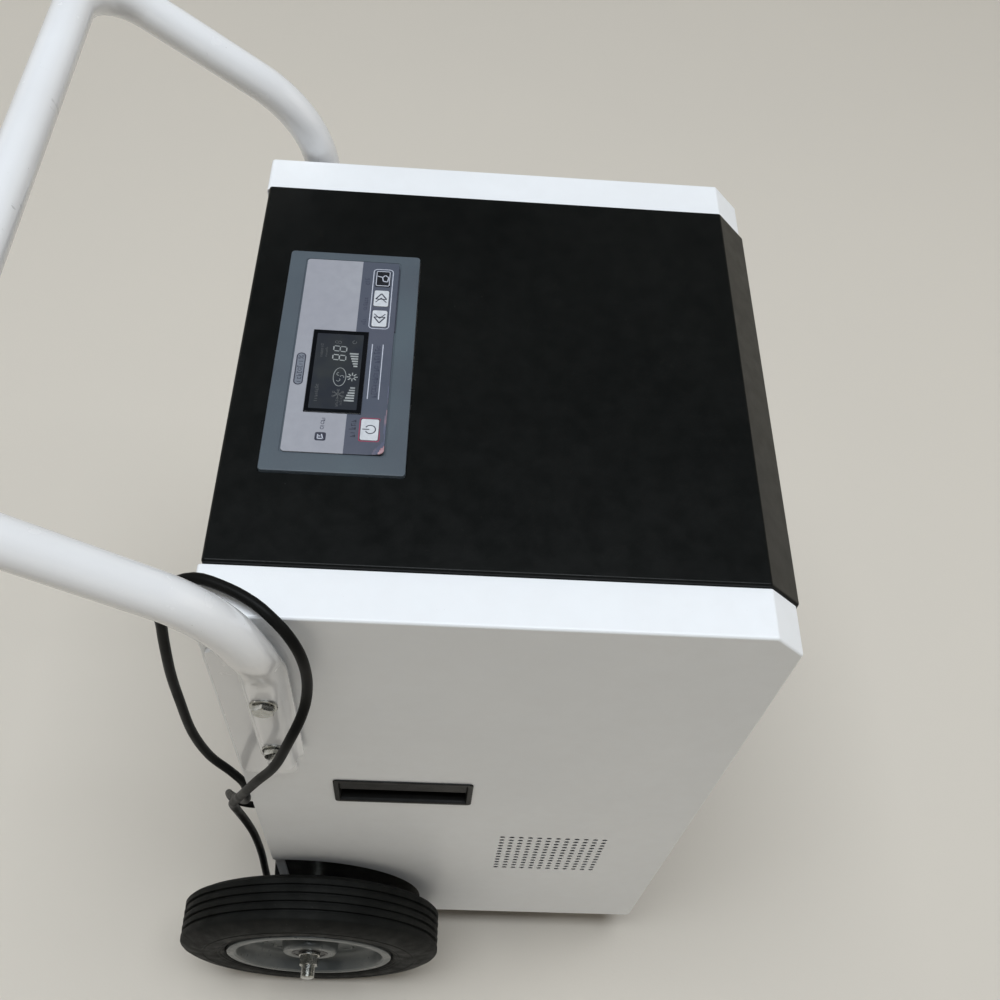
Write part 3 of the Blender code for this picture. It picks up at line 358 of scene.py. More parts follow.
    board.mottle(
        420.0, (0.020, 0.16, 0.065), 1.0, 0.46, 0.54, 2.0, (1.0, 0.25, 1.0)
    ).specks(330.0, (0.6, 0.6, 0.58), 0.10, 0.9)
    board.grain(600.0, 0.00010)
    pvc = new("cord_pvc", (0.0036, 0.0036, 0.0038), 0.40, specular=0.05)
    pvc.mottle(30.0, (0.0075, 0.0075, 0.0070)).specks(250.0, (0.10, 0.10, 0.09), 0.06, 0.4).polish(60.0, 0.08)
    pvc.grain(800.0, 0.00005, 2.0, (1.0, 1.0, 0.3))
    mesh = new("filter_mesh", (0.050, 0.052, 0.055), 0.60)
    mesh.mottle(60.0, (0.085, 0.085, 0.080)).dust((0.20, 0.19, 0.17), 0.3, 25.0).grain(1800.0, 0.00010)
    brass = new("brass_contact", (0.72, 0.56, 0.28), 0.28, metallic=1.0)
    brass.mottle(150.0, (0.55, 0.42, 0.22)).polish(200.0, 0.08).grain(1200.0, 0.00004)
    return {name: look.material for name, look in looks.items()}


LOOK = build_looks()


# Tools


def make(name, bm, look, body="cabinet", nodes=(), bevel=0.0, smooth=35, segments=2):
    """A piece from bmesh geometry in the cabinet's lengths, with its finish, body and nodes."""
    bmesh.ops.recalc_face_normals(bm, faces=bm.faces)
    mesh = bpy.data.meshes.new(name)
    bm.to_mesh(mesh)
    bm.free()
    return place(name, mesh, look, body, nodes, bevel, smooth, segments)


def place(name, mesh, look, body="cabinet", nodes=(), bevel=0.0, smooth=35, segments=2):
    mesh.transform(SHIFT)
    mesh.shade_smooth()
    mesh.set_sharp_from_angle(angle=math.radians(smooth))
    obj = bpy.data.objects.new(name, mesh)
    bpy.context.scene.collection.objects.link(obj)
    looks = [look] if isinstance(look, str) else look
    for each in looks:
        mesh.materials.append(LOOK[each])
    soften(obj, bevel, segments)
    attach(obj, body)
    if nodes:
        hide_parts(*([nodes] if isinstance(nodes, str) else nodes))
    return obj


def soften(obj, width, segments=2):
    if width:
        bevel = obj.modifiers.new("soft_edges", "BEVEL")
        bevel.width = width
        bevel.segments = segments
        bevel.limit_method = "ANGLE"
        bevel.angle_limit = math.radians(38)
        bevel.harden_normals = True
    weighted = obj.modifiers.new("even_normals", "WEIGHTED_NORMAL")
    weighted.keep_sharp = True


def keep(node, look, bevel=0.0):
    """A CAD node that stays, with its edges softened and a better finish."""
    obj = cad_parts[node]
    obj.data.materials.clear()
    obj.data.materials.append(LOOK[look])
    weld = obj.modifiers.new("weld", "WELD")
    weld.merge_threshold = 0.00002
    soften(obj, bevel)
    return obj


def skin(bm, rings, closed=True, caps=(True, True), loop=False, mat=0):
    """Quads between rings of points, which may be given as points or vertices."""
    rings = [[v if isinstance(v, bmesh.types.BMVert) else bm.verts.new(v) for v in ring] for ring in rings]
    pairs = list(zip(rings, rings[1:])) + ([(rings[-1], rings[0])] if loop else [])
    count = len(rings[0])
    for a, b in pairs:
        for i in range(count if closed else count - 1):
            j = (i + 1) % count
            bm.faces.new((a[i], a[j], b[j], b[i])).material_index = mat
    for wanted, ring in zip(caps, (rings[0], rings[-1])):
        if wanted and not loop:
            bm.faces.new(ring).material_index = mat
    return rings


def turn_to(axis, at=(0, 0, 0)):
    """Turns an upright shape's Z to the named direction, about the place at."""
    turns = {
        "+X": Matrix.Rotation(math.radians(90), 4, "Y"),
        "-X": Matrix.Rotation(math.radians(-90), 4, "Y"),
        "+Y": Matrix.Rotation(math.radians(-90), 4, "X"),
        "-Y": Matrix.Rotation(math.radians(90), 4, "X"),
        "+Z": Matrix.Identity(4),
        "-Z": Matrix.Rotation(math.radians(180), 4, "X"),
    }
    return Matrix.Translation(at) @ turns[axis]


def lathe(bm, profile, at=(0, 0, 0), axis="+Z", steps=48, ring=False, mat=0):
    """A turned shape. The profile is (radius, height); a ring's profile closes on itself."""
    matrix = turn_to(axis, at)
    columns = []
    for radius, height in profile:
        if radius < 1e-6:
            columns.append([bm.verts.new(matrix @ Vector((0, 0, height)))] * steps)
            continue
        row = []
        for k in range(steps):
            angle = math.tau * k / steps
            row.append(
                bm.verts.new(matrix @ Vector((radius * math.cos(angle), radius * math.sin(angle), height)))
            )
        columns.append(row)
    pairs = list(zip(columns, columns[1:])) + ([(columns[-1], columns[0])] if ring else [])
    for a, b in pairs:
        for i in range(steps):
            j = (i + 1) % steps
            corners = list(dict.fromkeys((a[i], a[j], b[j], b[i])))
            if len(corners) > 2:
                bm.faces.new(corners).material_index = mat
    for row in () if ring else (columns[0], columns[-1]):
        if len(set(row)) > 1:
            bm.faces.new(row).material_index = mat


def rect(x0, x1, y0, y1, r, seg=5):
    """An outline function: the rounded rectangle, moved in by an inset."""

    def outline(inset=0.0):
        rr = max(r - inset, 0.00004)
        corners = (
            (x1 - inset - rr, y1 - inset - rr, 0),
            (x0 + inset + rr, y1 - inset - rr, 90),
            (x0 + inset + rr, y0 + inset + rr, 180),
            (x1 - inset - rr, y0 + inset + rr, 270),
        )
        points = []
        for cx, cy, start in corners:
            for k in range(seg + 1):
                a = math.radians(start + 90 * k / seg)
                points.append((cx + rr * math.cos(a), cy + rr * math.sin(a)))
        return points

    return outline


def rounded_levels(z0, z1, bottom=0.0, top=0.0, seg=3):
    """(inset, height) pairs of a slab whose lower and upper edges are rounded."""
    levels = []
    for k in range(seg + 1) if bottom else (0,):
        a = math.pi / 2 * k / seg
        levels.append((bottom * (1 - math.sin(a)), z0 + bottom * (1 - math.cos(a))))
    for k in range(seg + 1) if top else (0,):
        a = math.pi / 2 * k / seg
        levels.append((top * (1 - math.cos(a)), z1 - top * (1 - math.sin(a))))
    return levels


AXES = {  # where an outline's u, v and height go
    "Z": Matrix(((1, 0, 0, 0), (0, 1, 0, 0), (0, 0, 1, 0), (0, 0, 0, 1))),
    "X": Matrix(((0, 0, 1, 0), (1, 0, 0, 0), (0, 1, 0, 0), (0, 0, 0, 1))),
    "Y": Matrix(((1, 0, 0, 0), (0, 0, 1, 0), (0, 1, 0, 0), (0, 0, 0, 1))),
}


def slab(bm, outline, levels, axis="Z", mat=0, caps=(True, True)):
    matrix = AXES[axis]
    return skin(
        bm, [[matrix @ Vector((u, v, h)) for u, v in outline(i)] for i, h in levels], caps=caps, mat=mat
    )


def block(bm, lo, hi, r=0.001, corner=None, axis="Z", mat=0, seg=3):
    """A box with rounded edges; corner is the radius of the four edges along the axis."""
    order = {"Z": (0, 1, 2), "X": (1, 2, 0), "Y": (0, 2, 1)}[axis]
    u, v, h = order
    outline = rect(lo[u], hi[u], lo[v], hi[v], max(corner or 0.0, r * 1.02), seg)
    slab(bm, outline, rounded_levels(lo[h], hi[h], r, r, 2), axis, mat)


def circle(centre, radius, across, up, steps):
    """Points round a circle in the plane of two directions."""
    points = []
    for k in range(steps):
        a = math.tau * k / steps
        points.append(centre + across * (radius * math.cos(a)) + up * (radius * math.sin(a)))
    return points


def pipe(bm, points, radius, sides=12, caps=(True, True), mat=0, loop=False):
    """A round bar along points, with frames that turn as little as they can. Each point may have its radius."""
    points = [Vector(p) for p in points]
    count = len(points)
    rings, up = [], None
    for i, point in enumerate(points):
        before = points[i - 1] if i or loop else point
        after = points[(i + 1) % count] if i < count - 1 or loop else point
        tangent = (after - before).normalized()
        if up is None:
            up = tangent.orthogonal().normalized()
        up = (up - tangent * up.dot(tangent)).normalized()
        r = radius[i] if isinstance(radius, (list, tuple)) else radius
        rings.append(circle(point, r, up, tangent.cross(up), sides))
    return skin(bm, rings, caps=caps, mat=mat, loop=loop)


def smooth_points(route, count):
    """Evenly spaced points on a smooth curve through the route's points."""
    route = [Vector(p) for p in route]
    route = [2 * route[0] - route[1], *route, 2 * route[-1] - route[-2]]
    fine = []
    for p0, p1, p2, p3 in zip(route, route[1:], route[2:], route[3:]):
        for step in range(16):
            t = step / 16
            cubic = 2 * p1 + (p2 - p0) * t + (2 * p0 - 5 * p1 + 4 * p2 - p3) * t**2
            fine.append(0.5 * (cubic + (3 * p1 - p0 - 3 * p2 + p3) * t**3))
    fine.append(route[-2])
    along = [0.0]
    for a, b in zip(fine, fine[1:]):
        along.append(along[-1] + (b - a).length)
    points, i = [], 0
    for n in range(count):
        want = along[-1] * n / (count - 1)
        while i < len(along) - 2 and along[i + 1] < want:
            i += 1
        part = (want - along[i]) / (along[i + 1] - along[i])
        points.append(fine[i].lerp(fine[i + 1], min(part, 1)))
    return points


def temporary(bm, name="temporary"):
    """A scene object for a Boolean, to be used up by cut_mesh()."""
    bmesh.ops.recalc_face_normals(bm, faces=bm.faces)
    mesh = bpy.data.meshes.new(name)
    bm.to_mesh(mesh)
    bm.free()
    obj = bpy.data.objects.new(name, mesh)
    bpy.context.scene.collection.objects.link(obj)
    return obj


def cut_mesh(obj, *others, operation="DIFFERENCE"):
    """The mesh that is left of obj after the others are cut from it. All of them are removed."""
    for other in others:
        boolean = obj.modifiers.new(other.name, "BOOLEAN")
        boolean.operation = operation
        boolean.solver = "EXACT"
        boolean.object = other
    bpy.context.view_layer.update()
    mesh = bpy.data.meshes.new_from_object(obj.evaluated_get(bpy.context.evaluated_depsgraph_get()))
    for old in (obj, *others):
        bpy.data.objects.remove(old, do_unlink=True)
    return mesh


def cross_radius(angle, arm, long):
    """The radius of a cross-shaped recess at an angle."""
    c, s = abs(math.cos(angle)), abs(math.sin(angle))
    return min(long / max(c, s), arm / max(min(c, s), 1e-6))


def screw_head(bm, at, axis, radius=0.0040, height=0.0020, mat=0):
    """A pan head with a cross recess, standing on the surface at a point."""
    matrix = turn_to(axis, at)
    rows = [(radius, 0.0, False), (radius, height * 0.35, False), (radius * 0.86, height * 0.80, False)]
    rows += [
        (radius * 0.62, height, False), (radius * 0.62, height, True), (radius * 0.50, height * 0.30, True)
    ]
    rings = []
    for r, h, recess in rows:
        ring = []
        for k in range(24):
            angle = math.tau * k / 24
            reach = min(cross_radius(angle, r * 0.26, r), r) * 0.98 if recess else r
            ring.append(matrix @ Vector((reach * math.cos(angle), reach * math.sin(angle), h)))
        rings.append(ring)
    skin(bm, rings, mat=mat)


def hexagon(angle, across):
    """The radius of a hexagon, across its flats, at an angle."""
    turned = (angle % (math.pi / 3)) - math.pi / 6
    return across / math.cos(turned)


def hex_body(bm, at, axis, flats, z0, z1, top=True, bore=0.0, mat=0):
    """A hexagon head or nut with chamfered corners, and a bore where it is a nut."""
    matrix = turn_to(axis, at)
    chamfer = flats * 0.16
    rows = [(flats * 1.0, z0, True), (None, z0 + chamfer * 0.45, False), (None, z1 - chamfer * 0.55, False)]
    rows += [(flats * 1.0, z1 - chamfer * 0.08, True), (flats * 0.90, z1, True)]
    if bore:
        rows += [
            (bore * 1.10, z1, True), (bore, z1 - 0.0006, True), (bore, z0 + 0.0006, True),
            (bore * 1.1, z0, True)
        ]
    rings = []
    for r, h, round_row in rows:
        ring = []
        for k in range(36):
            angle = math.tau * k / 36
            reach = r if round_row else hexagon(angle, flats)
            if round_row and r == flats:
                reach = min(hexagon(angle, flats), flats * 1.015)
            ring.append(matrix @ Vector((reach * math.cos(angle), reach * math.sin(angle), h)))
        rings.append(ring)
    skin(bm, rings, caps=(True, top), loop=bool(bore), mat=mat)


def strokes(bm, shapes, z0, z1, mat=0):
    """Thin printed shapes: each is a list of (x, y) corners, going round once."""
    for shape in shapes:
        skin(bm, [[Vector((x, y, z)) for x, y in shape] for z in (z0, z1)], mat=mat)


def bar(x0, x1, y0, y1, lean=0.0):
    return [(x0, y0), (x1, y0), (x1 + lean, y1), (x0 + lean, y1)]


def line(a, b, width):
    """A straight stroke between two points."""
    a, b = Vector(a), Vector(b)
    side = Vector((-(b - a).y, (b - a).x)).normalized() * (width / 2)
    return [tuple(p) for p in (a - side, b - side, b + side, a + side)]


def arc(cx, cy, radius, width, start, end, steps=14):
    outer, inner = [], []
    for k in range(steps + 1):
        angle = math.radians(start + (end - start) * k / steps)
        c, s = math.cos(angle), math.sin(angle)
        outer.append((cx + (radius + width / 2) * c, cy + (radius + width / 2) * s))
        inner.append((cx + (radius - width / 2) * c, cy + (radius - width / 2) * s))
    return outer + inner[::-1]


def frame_ring(bm, outline, width, z0, z1, mat=0):
    """A closed printed line: the band between an outline and its inset."""
    rows = ((0.0, z0), (0.0, z1), (width, z1), (width, z0))
    skin(bm, [[Vector((x, y, z)) for x, y in outline(inset)] for inset, z in rows], loop=True, mat=mat)


def glyphs(x0, y0, height, count, pitch, seed):
    """A row of small made-up marks that stands for a line of print, running along X."""
    rng = random.Random(seed)
    shapes = []
    for k in range(count):
        x = x0 + pitch * k
        wide = pitch * 0.62
        weight = pitch * 0.17
        kind = rng.choice(("stem_top", "stem_foot", "bars", "stem", "ring"))
        tall = height * rng.choice((1.0, 0.72, 0.72, 0.86))
        if kind in ("stem_top", "stem_foot", "stem"):
            shapes.append(bar(x, x + weight, y0, y0 + tall))
        if kind == "stem_top":
            shapes.append(bar(x, x + wide, y0 + tall - weight, y0 + tall))
            shapes.append(bar(x + wide - weight, x + wide, y0, y0 + tall * 0.55))
        if kind == "stem_foot":
            shapes.append(bar(x, x + wide, y0, y0 + weight))
            shapes.append(bar(x + wide * 0.5, x + wide * 0.5 + weight, y0, y0 + tall * 0.6))
        if kind == "bars":
            shapes.append(bar(x, x + wide, y0, y0 + weight))
            shapes.append(bar(x, x + wide, y0 + tall - weight, y0 + tall))
            shapes.append(bar(x, x + weight, y0, y0 + tall))
        if kind == "ring":
            shapes.append(arc(x + wide / 2, y0 + tall / 2, tall * 0.34, weight, 20, 340, 10))
    return shapes


SEGMENTS = {  # a seven-segment digit's strokes, as places on a unit box
    "top": ((0.12, 1.0), (0.88, 1.0)),
    "middle": ((0.12, 0.5), (0.88, 0.5)),
    "bottom": ((0.12, 0.0), (0.88, 0.0)),
    "left_up": ((0.0, 0.56), (0.0, 0.94)),
    "left_low": ((0.0, 0.06), (0.0, 0.44)),
    "right_up": ((1.0, 0.56), (1.0, 0.94)),
    "right_low": ((1.0, 0.06), (1.0, 0.44)),
}


def digit(x, y, wide, tall, weight, lean=0.08):
    """An eight on a seven-segment display."""
    shapes = []
    for (u0, v0), (u1, v1) in SEGMENTS.values():
        a = (x + u0 * wide + v0 * tall * lean, y + v0 * tall)
        b = (x + u1 * wide + v1 * tall * lean, y + v1 * tall)
        shapes.append(line(a, b, weight))
    return shapes


# Stage


def add_stage():
    """The camera at the photograph's view, a pale floor, an overhead soft box and two weak fills."""
    right = Vector((0.01060, -0.99749, 0.06996))
    up = Vector((0.83175, 0.04763, 0.55311))
    back = Vector((-0.55506, 0.05232, 0.83017))
    camera = bpy.data.objects.new("camera", bpy.data.cameras.new("camera"))
    bpy.context.scene.collection.objects.link(camera)
    camera.matrix_world = Matrix.Translation(
        (-0.6025, -0.02445, 1.5800)
    ) @ Matrix((right, up, back)).transposed().to_4x4()
    camera.data.sensor_width = 36
    camera.data.lens = 40.21
    camera.data.clip_start = 0.02
    bpy.context.scene.camera = camera

    floor = Look("floor", (0.668, 0.622, 0.552), 0.75)
    floor.mottle(0.8, (0.654, 0.610, 0.543)).grain(300.0, 0.0001)
    bm = bmesh.new()
    lathe(bm, [(0, 0), (3.2, 0), (4.2, 0.12), (4.8, 0.5), (5.1, 1.2), (5.2, 2.4), (5.2, 3.4)], steps=96)
    bmesh.ops.delete(bm, geom=[f for f in bm.faces if len(f.verts) > 4], context="FACES_ONLY")
    mesh = bpy.data.meshes.new("floor")
    bm.to_mesh(mesh)
    bm.free()
    mesh.shade_smooth()
    mesh.materials.append(floor.material)
    stage = bpy.data.objects.new("floor", mesh)
    bpy.context.scene.collection.objects.link(stage)

    lamps = (
        ("soft_box", (-0.25, 0.0, 6.0), (0, 0, 0), (2.2, 4.6), 312.0, (0.905, 0.955, 1.0)),
        ("side_fill", (-3.4, -0.6, 1.5), (0.0, 0.0, 0.5), (2.0, 2.0), 1.5, (1.0, 0.93, 0.84)),
        ("front_fill", (0.2, -3.6, 1.9), (0.0, 0.0, 0.7), (3.2, 1.8), 12.0, (1.0, 0.94, 0.86)),
        ("back_fill", (1.6, 3.6, 2.2), (0.0, 0.0, 0.6), (3.0, 1.8), 10.0, (0.97, 0.98, 1.0)),
    )
    for name, at, target, size, power, colour in lamps:
        data = bpy.data.lights.new(name, "AREA")
        data.shape = "RECTANGLE"
        data.size, data.size_y = size
        data.energy = power
        data.color = colour
        lamp = bpy.data.objects.new(name, data)
        bpy.context.scene.collection.objects.link(lamp)
        aim = Vector((0, 0, -1)) if name == "soft_box" else Vector(target) - Vector(at)
        turn = aim.to_track_quat("-Z", "Y").to_matrix().to_4x4()
        lamp.matrix_world = Matrix.Translation(at) @ turn

    world = bpy.data.worlds.new("studio")
    bpy.context.scene.world = world
    world.use_nodes = True
    world.node_tree.nodes["Background"].inputs["Color"].default_value = (0.90, 0.94, 1.0, 1)
    world.node_tree.nodes["Background"].inputs["Strength"].default_value = 0.04
    bpy.context.scene.view_settings.view_transform = "Standard"


# Mains cord


def coil_points():
    """The unseen length: two turns inwards on the floor, then two outwards on top, ending at the plug."""
    points = []
    turns = 4.0
    steps = 76
    for k in range(1, steps + 1):
        part = k / steps
        angle = math.pi / 2 - math.tau * turns * part
        if part < 0.5:
            share = part / 0.5
            radius, height = 0.0468 - 0.0085 * share, 0.0046
        else:
            share = (part - 0.5) / 0.5
            radius, height = 0.0383 + 0.0085 * share, 0.0132
        climb = min(max((part - 0.44) / 0.12, 0.0), 1.0)
        height = 0.0048 + 0.0085 * climb * climb * (3 - 2 * climb)
        points.append((COIL_X + radius * math.cos(angle), COIL_Y + radius * math.sin(angle), height))
    return points


def mains_cord():
    """The cord on one smooth line: from the gland, over the handle's arm, down behind, into the coil."""
    straight_out = [Vector(CORD_ROUTE[0])]
    arrive = [(0.0460, 0.3355, 0.0048), (COIL_X, COIL_Y + 0.0468, 0.0048)]
    leave = [(0.0860, PLUG_Y, 0.0148), (0.0990, PLUG_Y, 0.0176), (PLUG_X + 0.004, PLUG_Y, PLUG_Z)]
    route = [*CORD_ROUTE[1:], *arrive, *coil_points(), *leave]
    points = straight_out + smooth_points(route, 460)
    points = [SHIFT @ p for p in points]
    curve = bpy.data.curves.new("mains_cord", "CURVE")
    curve.dimensions = "3D"
    curve.bevel_depth = CORD_D / 2
    curve.bevel_resolution = 5
    curve.use_fill_caps = True
    spline = curve.splines.new("POLY")
    spline.points.add(len(points) - 1)
    for point, at in zip(spline.points, points):
        point.co = (*at, 1)
    spline.use_smooth = True
    curve.materials.append(LOOK["cord_pvc"])
    cord = bpy.data.objects.new("mains_cord", curve)
    bpy.context.scene.collection.objects.link(cord)
    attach(cord, "cabinet")
    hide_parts("power_cord", "power_cord_coil")
    length = sum((b - a).length for a, b in zip(points, points[1:]))
    return cord, length


def cable_gland():
    """A flange, a lock nut inside, a ribbed tapered boot, and the mouth that the cord leaves by."""
    bm = bmesh.new()
    profile = [(0.0044, 0.2524), (0.0058, 0.2525), (0.0062, 0.2515)]
    for k in range(7):
        y = 0.2500 - 0.0030 * k
        reach = 0.0062 + 0.00022 * (k + 1)
        profile += [
            (reach, y + 0.0012), (reach, y), (reach - 0.0007, y - 0.0004), (reach - 0.0007, y - 0.0014)
        ]
    profile += [(0.0082, 0.2278), (0.0106, 0.2276), (0.0112, 0.2268), (0.0112, 0.2212), (0.0106, 0.2204)]
    profile += [(0.0072, 0.2204), (0.0072, 0.2184), (0.0110, 0.2184), (0.0110, 0.2100), (0.0044, 0.2100)]
    lathe(bm, profile, (GLAND_X, 0, GLAND_Z), "+Y", 32, ring=True)
    hex_body(bm, (GLAND_X, 0, GLAND_Z), "+Y", 0.0104, 0.2212, 0.2262, bore=0.0073)
    return make("strain_relief", bm, "black_moulded_plastic", nodes="cable_gland", smooth=40)


def mains_plug():
    """A moulded two-pin plug: a grip with finger ridges, a ribbed neck and two pins."""
    bm = bmesh.new()
    matrix = turn_to("+X", (PLUG_X, PLUG_Y, PLUG_Z))
    rows = [(0.0, 0.0048, 0.0048), (0.0, 0.0062, 0.0062)]
    for k in range(4):
        x = 0.003 + 0.005 * k
        rows += [
            (x, 0.0064 + 0.0004 * k, 0.0064 + 0.0004 * k),
            (x + 0.0024, 0.0065 + 0.0004 * k, 0.0065 + 0.0004 * k)
        ]
        rows += [
            (x + 0.0028, 0.0056 + 0.0004 * k, 0.0056 + 0.0004 * k),
            (x + 0.0044, 0.0056 + 0.0004 * k, 0.0056 + 0.0004 * k)
        ]
    rows += [
        (0.0238, 0.0084, 0.0084), (0.0270, 0.0112, 0.0110), (0.0310, 0.0145, 0.0138), (0.0345, 0.0172, 0.0162)
    ]
    rows += [
        (0.0380, 0.0181, 0.0174), (0.0420, 0.0172, 0.0158), (0.0460, 0.0181, 0.0172), (0.0500, 0.0174, 0.0160)
    ]
    rows += [
        (0.0545, 0.0181, 0.0174), (0.0585, 0.0181, 0.0176), (0.0610, 0.0176, 0.0170), (0.0620, 0.0162, 0.0156)
    ]
    rings = []
    for x, a, b in rows:
        ring = []
        for k in range(40):
            angle = math.tau * k / 40
            c, s = math.cos(angle), math.sin(angle)
            power = 2 / 2.5
            y = a * math.copysign(abs(c) ** power, c)
            z = b * math.copysign(abs(s) ** power, s)
            ring.append(matrix @ Vector((z, y, x)))
        rings.append(ring)
    skin(bm, rings)
    plug = make("mains_plug", bm, "cord_pvc", nodes="power_plug", smooth=40)
    bm = bmesh.new()
    for offset in (-0.0095, 0.0095):
        pin = [(0.0024, 0.0600), (0.0024, 0.0790), (0.0019, 0.0804), (0.0, 0.0810)]
        lathe(bm, pin, (PLUG_X, PLUG_Y + offset, PLUG_Z), "+X", 20)
        lathe(
            bm, [(0.0034, 0.0618), (0.0034, 0.0626), (0.0025, 0.0628)], (PLUG_X, PLUG_Y + offset, PLUG_Z),
            "+X", 20
        )
    pins = make("plug_pins", bm, "brass_contact", smooth=40)
    return plug, pins


# Cabinet


def bent_outline(corners, radius, inset, seg=4):
    """Points along an open run of straight edges whose corners are rounded, moved inwards by an inset."""
    corners = [Vector(c) for c in corners]
    ways = [(b - a).normalized() for a, b in zip(corners, corners[1:])]
    inwards = [Vector((-w.y, w.x)) for w in ways]
    points = [corners[0] + inwards[0] * inset]
    for corner, n1, n2 in zip(corners[1:-1], inwards, inwards[1:]):
        centre = corner + (n1 + n2) * (radius / (1 + n1.dot(n2)))
        turn = math.atan2(n1.x * n2.y - n1.y * n2.x, n1.dot(n2))
        for k in range(seg + 1):
            a = turn * k / seg
            n = Vector((n1.x * math.cos(a) - n1.y * math.sin(a), n1.x * math.sin(a) + n1.y * math.cos(a)))
            points.append(centre - n * (radius - inset))
    points.append(corners[-1] + inwards[-1] * inset)
    return points


def side_outline(inset):
    corners = [
        (HALF_D, FLOOR_GAP),
        (HALF_D, TOP),
        (-HALF_D + CHAMFER, TOP),
        (-HALF_D, TOP - CHAMFER),
        (-HALF_D, FLOOR_GAP),
    ]
    return bent_outline(corners, 0.0032, inset)


def side_panel(name, side):
    """A sheet folded in at its back, top, chamfer and front, with its arch, grip opening and vents."""
    fold = 0.0024
    profile = [(HALF_W, 0.0050), (HALF_W, fold)]
    for k in range(1, 6):
        a = math.pi / 2 * k / 5
        profile.append((HALF_W - fold + fold * math.cos(a), fold - fold * math.sin(a)))
    tip = HALF_W - STRIP
    profile += [
        (tip + 0.0005, 0.0), (tip + 0.0001, 0.0003), (tip, 0.00075), (tip + 0.0001, 0.0012),
        (tip + 0.0005, SHEET)
    ]
    profile += [(HALF_W - fold, SHEET)]
    for k in range(1, 4):
        a = math.pi / 2 * (1 - k / 3)
        r = fold - SHEET
        profile.append((HALF_W - fold + r * math.cos(a), fold - r * math.sin(a)))
    profile.append((HALF_W - SHEET, 0.0050))
    bm = bmesh.new()
    rows = []
    for x, inset in profile[1:-1]:
        inset = min(inset, 0.0031)
        rows.append([bm.verts.new((side * x, y, z)) for y, z in side_outline(inset)])
    for a, b in zip(rows, rows[1:]):
        for i in range(len(a) - 1):
            bm.faces.new((a[i], a[i + 1], b[i + 1], b[i]))
    bm.faces.new(rows[0])
    bm.faces.new(rows[-1])
    bm.faces.new([row[0] for row in rows] + [row[-1] for row in reversed(rows)])
    panel = temporary(bm)

    bm = bmesh.new()
    lathe(
        bm, [(0, -0.03), (ARCH_R, -0.03), (ARCH_R, 0.03), (0, 0.03)],
        (side * (HALF_W - 0.02), ARCH_Y, ARCH_Z), "+X", 128
    )
    arch = temporary(bm)
    bm = bmesh.new()
    lo = (side * HALF_W - 0.01, GRIP_Y[0] + 0.0035, GRIP_Z[0] + 0.0035)
    hi = (side * HALF_W + 0.01, GRIP_Y[1] - 0.0035, GRIP_Z[1] - 0.0035)
    slab(bm, rect(lo[1], hi[1], lo[2], hi[2], 0.004), [(0, lo[0]), (0, hi[0])], "X")
    opening = temporary(bm)
    bm = bmesh.new()
    punch = [(0, -0.006), (0.0044, -0.006), (0.0044, -SHEET), (0.0028, 0.0), (0.0028, 0.006), (0, 0.006)]
    for row in range(12):
        for column in range(12):
            at = (side * HALF_W, -0.033 - 0.010 * column, 0.391 - 0.0102 * row)
            lathe(bm, punch, at, "+X" if side > 0 else "-X", 14)
    vents = temporary(bm)
    mesh = cut_mesh(panel, arch, opening, vents)
    place(f"{name}_folded_panel", mesh, "white_powder_coat", "cabinet", f"{name}_side_panel", 0, 28)


def vent_painted_shade_sheet(name, side):
    """A black sheet close behind the vent holes, with turned edges: painted shade that stands in for the dark
    inside of the cabinet seen through them.
    """
    bm = bmesh.new()
    x = side * (HALF_W - SHEET - 0.0004)
    block(
        bm, (min(x, x - side * 0.004), -0.152, 0.270), (max(x, x - side * 0.004), -0.024, 0.400), 0.0008,
        0.003, "X"
    )
    make(f"{name}_vent_painted_shade", bm, "black_moulded_plastic")


def top_cover():
    """A pan folded over the chamfer and down at its sides, with the bezel's opening."""
    slope = COVER_TOP - CHAMFER - 0.0035
    corners = [
        (COVER_BACK, TOP - 0.0136),
        (COVER_BACK, COVER_TOP),
        (COVER_FRONT + CHAMFER + 0.0035, COVER_TOP),
        (COVER_FRONT, slope),
        (COVER_FRONT, slope - 0.009),
    ]
    under = [(COVER_FRONT + 0.016, slope - 0.009), (COVER_FRONT + 0.036, TOP - 0.0136)]
    fold = 0.0020
    bm = bmesh.new()
    rings = []
    for end in (-1, 1):
        for k in range(6) if end < 0 else range(5, -1, -1):
            a = math.pi / 2 * k / 5
            inset = fold * (1 - math.sin(a))
            x = end * (COVER_HALF_W - fold * (1 - math.cos(a)))
            rings.append([Vector((x, y, z)) for y, z in bent_outline(corners, 0.0030, inset) + under])
    skin(bm, rings)
    cover = temporary(bm)
    inner = [
        (COVER_BACK - SHEET, TOP - 0.08),
        (COVER_BACK - SHEET, COVER_TOP - SHEET),
        (COVER_FRONT + CHAMFER + 0.0041, COVER_TOP - SHEET),
        (COVER_FRONT + SHEET, slope - 0.0009),
        (COVER_FRONT + SHEET, TOP - 0.08),
    ]
    bm = bmesh.new()
    edge = COVER_HALF_W - SHEET
    skin(bm, [[Vector((x, y, z)) for y, z in inner] for x in (-edge, edge)])
    hollow = temporary(bm)
    bm = bmesh.new()
    outline = rect(BEZEL_X[0] - 0.0005, BEZEL_X[1] + 0.0005, BEZEL_Y[0] - 0.0005, BEZEL_Y[1] + 0.0005, 0.0035)
    slab(bm, outline, [(0, COVER_TOP - 0.01), (0, COVER_TOP + 0.01)])
    opening = temporary(bm)
    mesh = cut_mesh(cover, hollow, opening)
    cover = place(
        "black_cover", mesh, ["black_satin_paint", "black_paint_painted_reflection"], "cabinet", "top_cover", 0, 28
    )
    # Faces on the chamfer take the second finish, a lighter black that is painted reflection.
    for face in cover.data.polygons:
        if face.normal.y < -0.55 and face.normal.z > 0.55:
            face.material_index = 1


